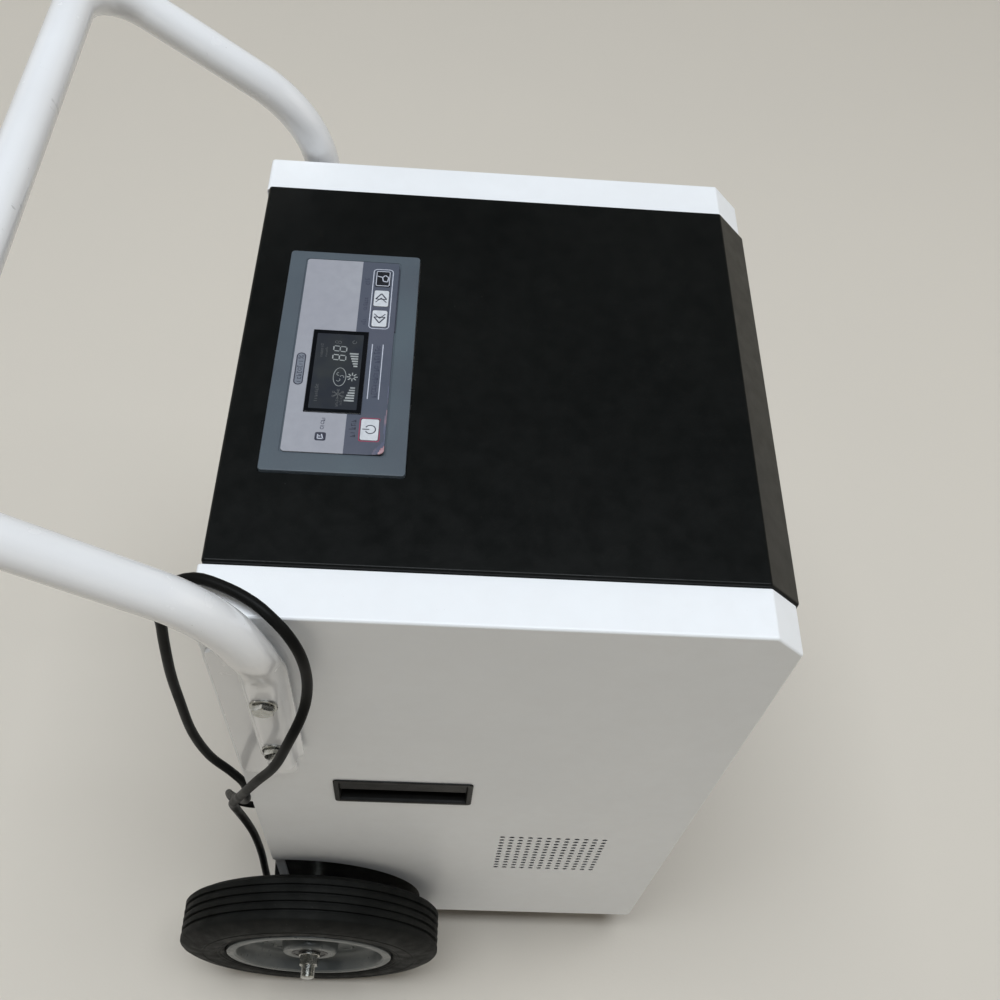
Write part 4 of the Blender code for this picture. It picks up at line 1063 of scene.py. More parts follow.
def front_panel():
    """A black pan with a turned-in border round the intake, and screws near its corners."""
    bottom, top = BASE_TOP + 0.0005, COVER_TOP - CHAMFER - 0.013
    back = COVER_FRONT + 0.020
    bm = bmesh.new()
    outline = rect(-COVER_HALF_W, COVER_HALF_W, bottom, top, 0.0030)
    slab(bm, outline, [(0, back), (0, COVER_FRONT + 0.003)] + [
        (0.00035, COVER_FRONT + 0.0015), (0.0012, COVER_FRONT + 0.0004), (0.0022, COVER_FRONT)], "Y")
    panel = temporary(bm)
    bm = bmesh.new()
    inner = COVER_HALF_W - SHEET
    slab(
        bm, rect(-inner, inner, bottom + SHEET, top - SHEET, 0.002),
        [(0, COVER_FRONT + SHEET), (0, back + 0.01)], "Y"
    )
    hollow = temporary(bm)
    bm = bmesh.new()
    edge = INTAKE_HALF_W + 0.0005
    slab(
        bm, rect(-edge, edge, INTAKE_Z[0] - 0.0005, INTAKE_Z[1] + 0.0005, 0.003),
        [(0, COVER_FRONT - 0.01), (0, COVER_FRONT + 0.01)], "Y"
    )
    opening = temporary(bm)
    mesh = cut_mesh(panel, hollow, opening)
    place("front_cover", mesh, "black_moulded_plastic", "cabinet", "front_panel", 0, 28)
    bm = bmesh.new()
    for x in (-0.182, 0.182):
        for z in (0.128, 0.340, 0.580, 0.822):
            screw_head(bm, (x, COVER_FRONT, z), "-Y", 0.0042, 0.0021)
    make("front_screws", bm, "zinc_plate")


def rear_panel():
    """The white rear pan, with screws, a raised ring and a ribbed spout at the drain, and three stiffening
    ribs.
    """
    keep("rear_panel", "white_powder_coat", 0.0008)
    bm = bmesh.new()
    back = 0.2202
    for x in (-0.187, 0.187):
        for z in (0.130, 0.300, 0.480, 0.660, 0.840):
            screw_head(bm, (x, back, z), "+Y", 0.0040, 0.0018)
    for x in (-0.062, 0.062):
        for z in (0.432, 0.768):
            screw_head(bm, (x, back, z), "+Y", 0.0040, 0.0018)
    make("rear_screws", bm, "zinc_plate")
    bm = bmesh.new()
    ring = [
        (0.0095, 0.2204), (0.0150, 0.2204), (0.0150, 0.2216), (0.0144, 0.2222), (0.0101, 0.2222),
        (0.0095, 0.2216)
    ]
    lathe(bm, ring, (DRAIN_X, 0, DRAIN_Z), "+Y", 40, ring=True)
    make("drain_escutcheon", bm, "black_moulded_plastic")
    bm = bmesh.new()
    spout = [(0.0, 0.2230), (0.0078, 0.2230), (0.0078, 0.2270)]
    for k in range(3):
        y = 0.2290 + 0.0050 * k
        spout += [(0.0066, y), (0.0080, y + 0.0008), (0.0066, y + 0.0046)]
    spout += [(0.0062, 0.2450), (0.0046, 0.2450), (0.0046, 0.2260), (0.0, 0.2260)]
    lathe(bm, spout, (DRAIN_X, 0, DRAIN_Z), "+Y", 32)
    make("drain_spout", bm, "drain_plastic", nodes=())
    bm = bmesh.new()
    for k in range(3):
        z = 0.800 + 0.0085 * k
        block(bm, (-0.060, back + 0.0002, z), (0.060, back + 0.0014, z + 0.0030), 0.0005, 0.0014, "Y")
    make("rear_stiffeners", bm, "white_powder_coat")


def base():
    keep("base_chassis", "black_satin_paint", 0.0008)
    for name, side in SIDES.items():
        keep(f"{name}_axle_plate", "black_satin_paint", 0.0006)
        bm = bmesh.new()
        for y, z in ((0.060, 0.285), (0.195, 0.285), (0.060, 0.125)):
            hex_body(bm, (side * 0.2370, y, z), "+X" if side > 0 else "-X", 0.0040, 0.0, 0.0022)
        make(f"{name}_plate_bolts", bm, "zinc_plate")


def slat_grille(name, half_width, z_range, y_range, face, slats, body, node):
    """A moulded frame with rounded corners, tilted slats with rounded edges, and upright ribs behind them."""
    border = 0.0115
    outer, inner = (y_range[0], y_range[1]) if face < 0 else (y_range[1], y_range[0])
    bm = bmesh.new()
    outline = rect(-half_width, half_width, z_range[0], z_range[1], 0.0030)
    rows = [(0.0, inner), (0.0, outer - face * 0.0020), (0.0006, outer - face * 0.0006), (0.0020, outer)]
    rows += [
        (border - 0.0030, outer), (border - 0.0010, outer - face * 0.0008), (border, outer - face * 0.0030),
        (border, inner)
    ]
    rows = [(max(i, 0.0), h) for i, h in rows]
    skin(bm, [[Vector((u, h, v)) for u, v in outline(i)] for i, h in rows], loop=True)
    reach = half_width - border + 0.001
    pitch = (z_range[1] - z_range[0] - 2 * border) / (slats + 1)
    tilt = math.radians(-35 * face)
    for row in range(slats):
        height = z_range[0] + border + pitch * (row + 1)
        ring = []
        for k in range(16):
            a = math.tau * k / 16
            u = 0.00525 * math.copysign(abs(math.cos(a)) ** 0.6, math.cos(a))
            v = 0.0011 * math.copysign(abs(math.sin(a)) ** 0.8, math.sin(a))
            y = u * math.cos(tilt) - v * math.sin(tilt)
            z = u * math.sin(tilt) + v * math.cos(tilt)
            ring.append((outer - face * 0.0062 + y, height + z))
        skin(bm, [[Vector((x, y, z)) for y, z in ring] for x in (-reach, reach)])
    ribs = 4 if half_width > 0.155 else 3
    for k in range(ribs):
        x = -half_width + 2 * half_width * (k + 1) / (ribs + 1)
        y0, y1 = sorted((outer - face * 0.0106, outer - face * 0.0140))
        block(
            bm, (x - 0.0011, y0, z_range[0] + border - 0.001), (x + 0.0011, y1, z_range[1] - border + 0.001),
            0.0004
        )
    return make(f"{name}", bm, "black_moulded_plastic", body, node, smooth=40)


def air_filter():
    """A frame with cross bars and a coarse mesh behind the intake's slats."""
    inner = INTAKE_HALF_W - 0.012
    z0, z1 = INTAKE_Z[0] + 0.012, INTAKE_Z[1] - 0.012
    bm = bmesh.new()
    outline = rect(-inner, inner, z0, z1, 0.003)
    rows = [
        (0.0, -0.2070), (0.0, -0.2119), (0.0006, -0.2125), (0.0074, -0.2125), (0.0080, -0.2119),
        (0.0080, -0.2070)
    ]
    skin(bm, [[Vector((u, h, v)) for u, v in outline(i)] for i, h in rows], loop=True)
    for k in range(1, 4):
        x = -inner + 2 * inner * k / 4
        block(bm, (x - 0.0020, -0.2120, z0 + 0.007), (x + 0.0020, -0.2075, z1 - 0.007), 0.0005)
    for k in range(1, 5):
        z = z0 + (z1 - z0) * k / 5
        block(bm, (-inner + 0.007, -0.2117, z - 0.0020), (inner - 0.007, -0.2078, z + 0.0020), 0.0005)
    make("filter_frame", bm, "black_moulded_plastic", "filter_cassette", "air_filter")
    bm = bmesh.new()
    reach = inner - 0.0075
    count = 88
    for k in range(count):
        x = -reach + 2 * reach * k / (count - 1)
        block(bm, (x - 0.00045, -0.2100, z0 + 0.0075), (x + 0.00045, -0.2091, z1 - 0.0075), 0.0001, seg=1)
    count = 116
    for k in range(count):
        z = z0 + 0.0075 + (z1 - z0 - 0.015) * k / (count - 1)
        block(bm, (-reach, -0.2104, z - 0.00045), (reach, -0.2095, z + 0.00045), 0.0001, seg=1)
    make("filter_net", bm, "filter_mesh", "filter_cassette")


def recess_grip(name, side):
    """A flush lifting grip: a rim, a plate with a small moulded mark, and the pocket that opens below it."""
    outer = HALF_W + 0.0018
    bm = bmesh.new()
    rim = rect(GRIP_Y[0], GRIP_Y[1], GRIP_Z[0], GRIP_Z[1], 0.0042)
    deep = HALF_W - GRIP_DEPTH
    rows = [
        (0.0, HALF_W + 0.0004),
        (0.0, outer - 0.0008),
        (0.0003, outer - 0.0002),
        (0.0010, outer),
        (0.0042, outer),
        (0.0050, outer - 0.0004),
        (0.0054, outer - 0.0016),
        (0.0060, HALF_W - 0.0016),
        (0.0060, deep + 0.004),
        (0.0085, deep + 0.002),
        (0.0085, deep),
        (0.0040, deep),
        (0.0040, HALF_W + 0.0004),
    ]
    rings = [[Vector((side * h, u, v)) for u, v in rim(i)] for i, h in rows]
    skin(bm, rings, loop=True)
    back = rect(GRIP_Y[0], GRIP_Y[1], GRIP_Z[0], GRIP_Z[1], 0.0042)
    skin(bm, [[Vector((side * h, u, v)) for u, v in back(0.0075)] for h in (deep, deep + 0.002)])
    make(f"{name}_grip_rim", bm, "grip_plastic", nodes=f"{name}_recess_grip", smooth=40)
    bm = bmesh.new()
    y0, y1 = GRIP_Y[0] + 0.0058, GRIP_Y[1] - 0.0058
    z0, z1 = GRIP_Z[0] + 0.0240, GRIP_Z[1] - 0.0058
    face = HALF_W - 0.0016
    profile = [
        (face - 0.0020, z1), (face, z1 - 0.0004), (face, z0 + 0.0040), (face - 0.0006, z0 + 0.0018),
        (face - 0.0024, z0)
    ]
    profile += [
        (face - 0.0050, z0 - 0.0006), (face - 0.0072, z0 + 0.0006), (face - 0.0080, z0 + 0.0026),
        (face - 0.0074, z0 + 0.0040)
    ]
    profile += [
        (face - 0.0060, z0 + 0.0034), (face - 0.0048, z0 + 0.0020), (face - 0.0026, z0 + 0.0030),
        (face - 0.0020, z0 + 0.0060)
    ]
    skin(bm, [[Vector((side * x, y, z)) for x, z in profile] for y in (y0, y1)])
    mark_y, mark_z = (GRIP_Y[0] + GRIP_Y[1]) / 2, z1 - 0.0080
    for k in (-1, 0, 1):
        x = sorted((side * (face - 0.0002), side * (face + 0.0005)))
        block(
            bm, (x[0], mark_y + 0.004 * k - 0.0013, mark_z - 0.0012),
            (x[1], mark_y + 0.004 * k + 0.0013, mark_z + 0.0012), 0.0003, 0.0010, "X"
        )
    make(f"{name}_grip_plate", bm, "grip_plastic", smooth=40)


# Control panel


def control_bezel():
    """The slate surround: a raised plate with soft edges, a tray for the overlay, and sides that reach just
    below the cover's sheet.
    """
    bm = bmesh.new()
    outline = rect(BEZEL_X[0], BEZEL_X[1], BEZEL_Y[0], BEZEL_Y[1], 0.0032, 6)
    tray = rect(
        OVERLAY_X[0] - 0.0012, OVERLAY_X[1] + 0.0012, OVERLAY_Y[0] - 0.0012, OVERLAY_Y[1] + 0.0012, 0.0026, 6
    )
    top = BEZEL_TOP + 0.0001
    low = COVER_TOP - SHEET - 0.0003
    rows = [
        (outline, 0.0, low), (outline, 0.0, top - 0.0011), (outline, 0.0003, top - 0.0004),
        (outline, 0.0010, top)
    ]
    rows += [
        (tray, -0.0008, top), (tray, -0.0002, top - 0.0002), (tray, 0.0, top - 0.0007),
        (tray, 0.0022, top - 0.0009)
    ]
    skin(bm, [[Vector((u, v, h)) for u, v in shape(i)] for shape, i, h in rows])
    body = temporary(bm)
    cutters = []
    bm = bmesh.new()
    for x, y, long, wide in KEYS.values():
        slab(
            bm,
            rect(
                x - long / 2 - 0.0003, x + long / 2 + 0.0003, y - wide / 2 - 0.0003, y + wide / 2 + 0.0003,
                0.0014
            ),
            [(0, low - 0.01), (0, top + 0.01)]
        )
    cutters.append(temporary(bm))
    bm = bmesh.new()
    slab(
        bm,
        rect(WINDOW_X[0] + 0.0045, WINDOW_X[1] - 0.0045, WINDOW_Y[0] + 0.0045, WINDOW_Y[1] - 0.0045, 0.001),
        [(0, low - 0.01), (0, top + 0.01)]
    )
    cutters.append(temporary(bm))
    mesh = cut_mesh(body, *cutters)
    place("panel_bezel", mesh, "slate_plastic", "cabinet", "control_bezel", 0, 32)


def film_lift(x, y):
    """How far the overlay's film has come up along its front edge, most at the corner by the power key."""
    along = min(max((0.075 - x) / 0.165, 0.0), 1.0)
    edge = min(max((OVERLAY_Y[0] + 0.0062 - y) / 0.0062, 0.0), 1.0)
    lift = 0.0009 * along**1.3 * edge**1.6
    corner = min(
        max((OVERLAY_X[0] + 0.013 - x) / 0.013, 0.0), 1.0
    ) * min(max((OVERLAY_Y[0] + 0.013 - y) / 0.013, 0.0), 1.0)
    ripple = 0.00022 * edge * math.sin((x - 0.02) * 190.0) * along
    return lift + 0.0022 * corner**1.2 + ripple


def control_overlay():
    """The printed film: a light and a dark zone, open at the display and keys, with one lifted edge."""
    z0, z1 = BEZEL_TOP - 0.0003, OVERLAY_TOP
    split = 0.1262
    bm = bmesh.new()
    outline = rect(OVERLAY_X[0], OVERLAY_X[1], OVERLAY_Y[0], OVERLAY_Y[1], 0.0030, 6)
    slab(bm, outline, [(0.0, z0), (0.0, z1 - 0.00025), (0.00012, z1 - 0.00006), (0.0003, z1)])
    film = temporary(bm)
    bm = bmesh.new()
    for x, y, long, wide in KEYS.values():
        slab(
            bm,
            rect(
                x - long / 2 - 0.0003, x + long / 2 + 0.0003, y - wide / 2 - 0.0003, y + wide / 2 + 0.0003,
                0.0014
            ),
            [(0, z0 - 0.01), (0, z1 + 0.01)]
        )
    holes = temporary(bm)
    bm = bmesh.new()
    slab(
        bm, rect(WINDOW_X[0], WINDOW_X[1], WINDOW_Y[0], WINDOW_Y[1], 0.0006), [(0, z0 - 0.01), (0, z1 + 0.01)]
    )
    window = temporary(bm)
    mesh = cut_mesh(film, holes, window)
    bm = bmesh.new()
    bm.from_mesh(mesh)
    cuts = [((0, split, 0), (0, 1, 0))]
    cuts += [((0, OVERLAY_Y[0] + 0.0009 * k, 0), (0, 1, 0)) for k in range(1, 15)]
    cuts += [((OVERLAY_X[0] + 0.0020 * k, 0, 0), (1, 0, 0)) for k in range(1, 8)]
    cuts += [((OVERLAY_X[0] + 0.014 + 0.0060 * k, 0, 0), (1, 0, 0)) for k in range(1, 31)]
    for at, normal in cuts:
        bmesh.ops.bisect_plane(
            bm, geom=[*bm.verts, *bm.edges, *bm.faces], plane_co=at, plane_no=normal, dist=0.00001
        )
    for face in bm.faces:
        middle = face.calc_center_median()
        lifted = film_lift(middle.x, middle.y)
        face.material_index = 0 if middle.y > split else 1
        # Faces of the lifted edge take painted sheen, and the most lifted ones at the corner take a painted
        # highlight.
        if middle.y < split and lifted > 0.00050:
            face.material_index = 2
        if lifted > 0.00140:
            face.material_index = 3
    for vertex in bm.verts:
        vertex.co.z += film_lift(vertex.co.x, vertex.co.y)
    mesh = bpy.data.meshes.new("printed_overlay")
    bm.to_mesh(mesh)
    bm.free()
    looks = ["overlay_light", "overlay_dark", "overlay_lifted_edge_painted_sheen", "overlay_curled_tip_painted_highlight"]
    place("printed_overlay", mesh, looks, "cabinet", "control_overlay", 0, 32)


def overlay_print():
    """The film's lines, frames and small marks, each a thin layer of ink, and a dark strip of painted shadow
    along the lifted front edge.
    """
    z0, z1 = OVERLAY_TOP - 0.00005, OVERLAY_TOP + 0.00006
    white, dark, soft, red, grey = (bmesh.new() for _ in range(5))
    frame_ring(white, rect(0.0273, 0.0961, 0.0994, 0.1166, 0.0036, 6), 0.00075, z0, z1)
    strokes(white, [bar(-0.0470, 0.0105, 0.10250, 0.10325), bar(-0.0470, 0.0105, 0.11130, 0.11205)], z0, z1)
    strokes(soft, glyphs(-0.0450, 0.10460, 0.0052, 11, 0.0030, 3), z0, z1)
    strokes(soft, glyphs(-0.0090, 0.10460, 0.0052, 6, 0.0031, 4), z0, z1)
    strokes(soft, glyphs(0.0318, 0.11900, 0.0036, 3, 0.0024, 5), z0, z1)
    strokes(soft, glyphs(0.0483, 0.11900, 0.0036, 6, 0.0024, 6), z0, z1)
    strokes(soft, glyphs(0.0773, 0.11900, 0.0040, 3, 0.0027, 7), z0, z1)
    strokes(dark, glyphs(-0.0850, 0.1184, 0.0050, 5, 0.0036, 8), z0, z1)
    pill = rect(-0.0361, -0.0026, 0.16380, 0.17140, 0.0038, 7)
    slab(grey, pill, [(0, z0), (0, z1)])
    z0, z1 = z0 + 0.00004, z1 + 0.00004
    frame_ring(dark, pill, 0.00090, z0, z1)
    strokes(dark, glyphs(-0.0331, 0.16570, 0.0040, 8, 0.0030, 9), z0, z1)
    strokes(
        dark,
        [
            line((-0.0088, 0.1658), (-0.0058, 0.1696), 0.0005),
            arc(-0.0085, 0.1690, 0.0007, 0.0004, 0, 350, 10), arc(-0.0061, 0.1663, 0.0007, 0.0004, 0, 350, 10)
        ],
        z0, z1
    )
    slab(dark, rect(-0.0900, -0.0820, 0.1405, 0.1490, 0.0016), [(0, z0), (0, z1)])
    strokes(
        white,
        [
            line((-0.0880, 0.1425), (-0.0880, 0.1470), 0.0009),
            line((-0.0880, 0.1468), (-0.0840, 0.1468), 0.0009)
        ],
        z1 - 0.00002, z1 + 0.00004
    )
    strokes(
        white,
        [
            line((-0.0857, 0.1468), (-0.0857, 0.1446), 0.0009),
            line((-0.0882, 0.1426), (-0.0837, 0.1440), 0.0009)
        ],
        z1 - 0.00002, z1 + 0.00004
    )
    strokes(soft, glyphs(-0.0785, 0.1425, 0.0036, 5, 0.0025, 10), z0, z1)
    # A dark strip along the film's lifted front edge: painted shadow under the lift.
    painted_edge_shadow = [bar(0.0250, 0.0975, OVERLAY_Y[0] - 0.0008, OVERLAY_Y[0] + 0.0001)]
    strokes(dark, painted_edge_shadow, z0 - 0.0004, z1 - 0.0002)
    frame_ring(red, rect(-0.0889, -0.0659, 0.0993, 0.1157, 0.0020, 5), 0.00070, z0, z1)
    make("overlay_print_white", white, "print_white", smooth=30)
    make("overlay_print_dark", dark, "print_dark", smooth=30)
    make("overlay_print_soft", soft, "print_soft", smooth=30)
    make("overlay_print_red", red, "print_red", smooth=30)
    make("overlay_label_ground", grey, "print_grey", smooth=30)


def key_cap(name, look):
    """A soft-edged key that stands a little proud of the film."""
    x, y, long, wide = KEYS[name]
    bm = bmesh.new()
    outline = rect(x - long / 2, x + long / 2, y - wide / 2, y + wide / 2, 0.0016, 5)
    slab(bm, outline, rounded_levels(BEZEL_TOP - 0.0025, KEY_TOP, 0.0, 0.0005, 4))
    make(f"{name}_top", bm, look, f"{name}_cap", name, smooth=50)


def keys():
    """The four keys and their printed signs."""
    for name in KEYS:
        key_cap(name, "key_dark" if name == "key_timer" else "key_light")
    z0, z1 = KEY_TOP - 0.00005, KEY_TOP + 0.00006
    x, y = KEYS["key_power"][:2]
    bm = bmesh.new()
    strokes(
        bm,
        [arc(x, y - 0.0006, 0.0040, 0.00085, 118, 422, 26), line((x, y + 0.0002), (x, y + 0.0056), 0.00085)],
        z0, z1
    )
    make("key_power_sign", bm, "print_dark", "key_power_cap", smooth=30)
    for name, way in (("key_up", 1), ("key_down", -1)):
        x, y = KEYS[name][:2]
        bm = bmesh.new()
        tip, foot, half = x + way * 0.0052, x - way * 0.0012, 0.0046
        middle = (tip + foot) / 2
        outlines = [line((foot, y - half), (tip, y), 0.0011), line((tip, y), (foot, y + half), 0.0011)]
        outlines += [line((foot, y - half), (foot, y + half), 0.0009)]
        gap = -way * 0.0036
        outlines += [line((foot + gap, y - half), (middle - way * 0.0018, y), 0.0008)]
        outlines += [line((middle - way * 0.0018, y), (foot + gap, y + half), 0.0008)]
        strokes(bm, outlines, z0, z1)
        make(f"{name}_sign", bm, "print_dark", f"{name}_cap", smooth=30)
    x, y, long, wide = KEYS["key_timer"]
    bm = bmesh.new()
    frame_ring(
        bm,
        rect(
            x - long / 2 + 0.0003, x + long / 2 - 0.0003, y - wide / 2 + 0.0003, y + wide / 2 - 0.0003,
            0.0016, 5
        ),
        0.0007, z0, z1
    )
    hand = [
        (x - 0.0036, y - 0.0040), (x + 0.0016, y - 0.0046), (x + 0.0040, y - 0.0018), (x + 0.0012, y + 0.0006)
    ]
    hand += [(x - 0.0030, y - 0.0004)]
    strokes(bm, [line(a, b, 0.0009) for a, b in zip(hand, hand[1:] + hand[:1])], z0, z1)
    strokes(bm, [line((x + 0.0016, y + 0.0006), (x + 0.0026, y + 0.0046), 0.0009)], z0, z1)
    make("key_timer_sign", bm, "print_white", "key_timer_cap", smooth=30)


def display():
    """A black-bordered window over a dark field, with its segments, bars and signs."""
    x0, x1 = WINDOW_X[0] + 0.0003, WINDOW_X[1] - 0.0003
    y0, y1 = WINDOW_Y[0] + 0.0003, WINDOW_Y[1] - 0.0003
    top = OVERLAY_TOP + 0.0004
    bm = bmesh.new()
    slab(bm, rect(x0, x1, y0, y1, 0.0010), rounded_levels(BEZEL_TOP - 0.0002, top, 0.0, 0.00025, 3))
    make("window_glass", bm, "display_glass", nodes="display_window", smooth=40)
    bm = bmesh.new()
    slab(
        bm, rect(x0 + 0.0036, x1 - 0.0040, y0 + 0.0036, y1 - 0.0034, 0.0006),
        rounded_levels(top - 0.00005, top + 0.00005)
    )
    make("window_field", bm, "display_field", smooth=40)
    z0, z1 = top + 0.00002, top + 0.00010
    bright, faint = bmesh.new(), bmesh.new()
    for x in (-0.0083, 0.0010):
        strokes(bright, digit(x - 0.0008, 0.1320, 0.0052, 0.0105, 0.0009), z0, z1)
    strokes(faint, digit(0.0088, 0.1370, 0.0024, 0.0048, 0.0005), z0, z1)
    for k in range(6):
        x = -0.0508 + 0.0026 * k
        tall = 0.0078 - 0.0008 * k
        strokes(bright, [bar(x, x + 0.0015, 0.1220, 0.1220 + tall)], z0, z1)
    for k in range(6):
        x = -0.0153 + 0.0026 * k
        tall = 0.0032 + 0.0008 * k
        strokes(bright, [bar(x, x + 0.0015, 0.1220, 0.1220 + tall)], z0, z1)
    for k in range(8):
        a = math.tau * k / 8
        c, s = math.cos(a), math.sin(a)
        spot = (-0.0258, 0.1252)
        strokes(
            bright,
            [
                line(
                    (spot[0] + 0.0016 * c, spot[1] + 0.0016 * s),
                    (spot[0] + 0.0044 * c, spot[1] + 0.0044 * s), 0.0009
                )
            ],
            z0, z1
        )
    ring = []
    for k in range(36):
        a = math.tau * k / 36
        ring.append((-0.0263 + 0.0094 * math.cos(a), 0.1352 + 0.0050 * math.sin(a)))
    strokes(bright, [line(a, b, 0.0005) for a, b in zip(ring, ring[1:] + ring[:1])], z0, z1)
    strokes(
        bright,
        [
            arc(
                -0.0263 + 0.0030 * c, 0.1352 + 0.0016 * s, 0.0015, 0.0004, t, t + 200, 8
            ) for c, s, t in ((1, 0.6, 0), (-1, 0.6, 120), (0, -1.2, 240))
        ],
        z0, z1
    )
    for k in range(6):
        a = math.tau * k / 6
        strokes(
            faint,
            [
                line(
                    (-0.0440, 0.1350), (-0.0440 + 0.0042 * math.cos(a), 0.1350 + 0.0042 * math.sin(a)), 0.0008
                )
            ],
            z0, z1
        )
        strokes(
            faint,
            [arc(-0.0440 + 0.0042 * math.cos(a), 0.1350 + 0.0042 * math.sin(a), 0.0009, 0.0004, 0, 340, 8)],
            z0, z1
        )
    strokes(faint, glyphs(-0.0518, 0.1508, 0.0028, 8, 0.0022, 11), z0, z1)
    strokes(faint, glyphs(-0.0058, 0.1508, 0.0026, 7, 0.0020, 12), z0, z1)
    strokes(faint, glyphs(-0.0058, 0.1472, 0.0018, 7, 0.0016, 13), z0, z1)
    strokes(faint, glyphs(-0.0548, 0.1312, 0.0020, 6, 0.0016, 14), z0, z1)
    strokes(faint, glyphs(-0.0563, 0.1340, 0.0022, 5, 0.0018, 15), z0, z1)
    strokes(faint, [arc(0.0110, 0.1262, 0.0016, 0.0005, 0, 300, 10)], z0, z1)
    make("display_segments", bright, "display_segment", smooth=30)
    make("display_small_signs", faint, "display_faint", smooth=30)
    keep("display_module", "display_glass", 0.0004)
    keep("control_board", "circuit_board", 0.0002)


# Push handle


def handle_path():
    """Centre, tangent and upward normal along the left half of the handle, from its end to the middle."""
    stations = []
    heights = [ARM_END_Z + 0.0075 * k for k in range(27)] + [ARM_BEND_Z]
    for z in heights:
        stations.append((Vector((-ARM_X, ARM_Y, z)), Vector((0, 0, 1)), Vector((0, -1, 0))))
    turn = math.pi / 2 - ARM_SLOPE
    for step in range(1, 17):
        angle = turn * step / 16
        rise = ARM_BEND_Z + ARM_BEND_R * math.sin(angle)
        centre = Vector((-ARM_X, ARM_Y + ARM_BEND_R * (1 - math.cos(angle)), rise))
        tangent = Vector((0, math.sin(angle), math.cos(angle)))
        stations.append((centre, tangent, Vector((0, -math.cos(angle), math.sin(angle)))))
    start, slope, up = stations[-1]
    reach = (CROSSBAR_Y - start.y) / slope.y - CORNER_R
    for step in range(1, 5):
        stations.append((start + slope * (reach * step / 5), slope, up))
    for step in range(17):
        angle = math.pi / 2 * step / 16
        centre = start + slope * (reach + CORNER_R * math.sin(angle))
        centre.x += CORNER_R * (1 - math.cos(angle))
        stations.append((centre, slope * math.cos(angle) + Vector((1, 0, 0)) * math.sin(angle), up))
    return stations


def pressed_section(s, z):
    """The tube's outline where it is pressed: (out from the panel, along the panel) for 32 points."""
    points = []
    taper = min(max((z - ARM_END_Z) / 0.16, 0.0), 1.0)
    ridge = 0.0095 + 0.0022 * taper
    dent = 0.0012 * math.exp(-(((z - 0.742) / 0.018) ** 2))
    for k in range(32):
        angle = math.tau * k / 32
        c, v = math.cos(angle), math.sin(angle)
        out_round, along_round = TUBE_R * c, TUBE_R * v
        along = 0.0190 * math.copysign(abs(v) ** 0.92, v)
        fall = min(max((abs(along) - ridge) / 0.0052, 0.0), 1.0)
        fall = fall * fall * (3 - 2 * fall)
        base = -TUBE_R + 0.0002
        if c >= 0:
            crown = 0.0176 - 0.0022 * (along / 0.012) ** 2 * (1 - fall) - dent * (1 - fall)
            out = base + crown * (1 - fall) + (0.0052 - 0.0016 * (1 - c)) * fall
            if abs(along) > 0.0165:
                out = base + 0.0052 - (abs(along) - 0.0165) * 1.0
        else:
            out = base + 0.0002 * (1 + c)
        points.append((out_round + (out - out_round) * s, along_round + (along - along_round) * s))
    return points


def push_handle():
    """A bent tube of white enamel, pressed to a ridge with flanges where it is bolted on."""
    bm = bmesh.new()
    half = []
    for centre, tangent, up in handle_path():
        s = min(max((0.875 - centre.z) / 0.075, 0), 1) if tangent.y < 0.5 else 0.0
        s = s * s * (3 - 2 * s)
        out_way = tangent.cross(up)
        if out_way.x * centre.x < 0:
            out_way = -out_way
        if s == 0.0:
            section = [
                (
                    TUBE_R * math.cos(math.tau * k / 32), TUBE_R * math.sin(math.tau * k / 32)
                ) for k in range(32)
            ]
        else:
            section = pressed_section(s, centre.z)
        half.append([centre + out_way * out + up * along for out, along in section])
    mirrored = [[Vector((-p.x, p.y, p.z)) for p in ring] for ring in reversed(half)]
    rings = half + mirrored[1:]
    ends = []
    for first, ring in ((rings[0], rings[1]), (rings[-1], rings[-2])):
        middle = sum(first, Vector()) / 32
        ends.append(
            [middle + (p - middle) * 0.90 + (first[0] - ring[0]).normalized() * 0.0006 for p in first]
        )
    skin(bm, [ends[0], *rings, ends[1]])
    make("handle_tube", bm, "white_gloss_enamel", nodes="push_handle", smooth=50)


def handle_brackets():
    """The white plates between the pressed ends and the side panels, with rounded corners."""
    for name, side in SIDES.items():
        bm = bmesh.new()
        outline = rect(0.1682, 0.2183, 0.5752, 0.8298, 0.012, 8)
        levels = rounded_levels(0.2403, 0.2443, 0.0003, 0.0014, 3)
        outward = [(inset, side * height) for inset, height in levels]
        slab(bm, outline, outward, "X")
        make(f"{name}_bracket_plate", bm, "white_gloss_enamel", nodes=f"{name}_handle_bracket", smooth=40)


def handle_bolts():
    """Zinc hexagon bolts on plain washers, with their nuts inside the cabinet."""
    face = ARM_X - TUBE_R + 0.018 + 0.0003
    for name, side in SIDES.items():
        for row, z in BOLT_Z.items():
            bm = bmesh.new()
            axis = "+X" if side > 0 else "-X"
            at = (0, ARM_Y, z)
            washer = [
                (0.0052, face - 0.0008), (0.0110, face - 0.0008), (0.0110, face + 0.0006),
                (0.0105, face + 0.0011), (0.0052, face + 0.0011)
            ]
            lathe(bm, washer, at, axis, 40, ring=True)
            hex_body(bm, at, axis, 0.0080, face + 0.0012, face + 0.0062)
            lathe(
                bm,
                [
                    (0.0, 0.228), (0.0045, 0.228), (0.0050, 0.2290), (0.0050, face + 0.0030),
                    (0.0, face + 0.0030)
                ],
                at, axis, 20
            )
            hex_body(bm, at, axis, 0.0080, 0.2300, 0.2360, bore=0.0051)
            make(f"{name}_bolt_{row}", bm, "zinc_plate", nodes=f"{name}_handle_bolt_{row}", smooth=30)


# Wheels


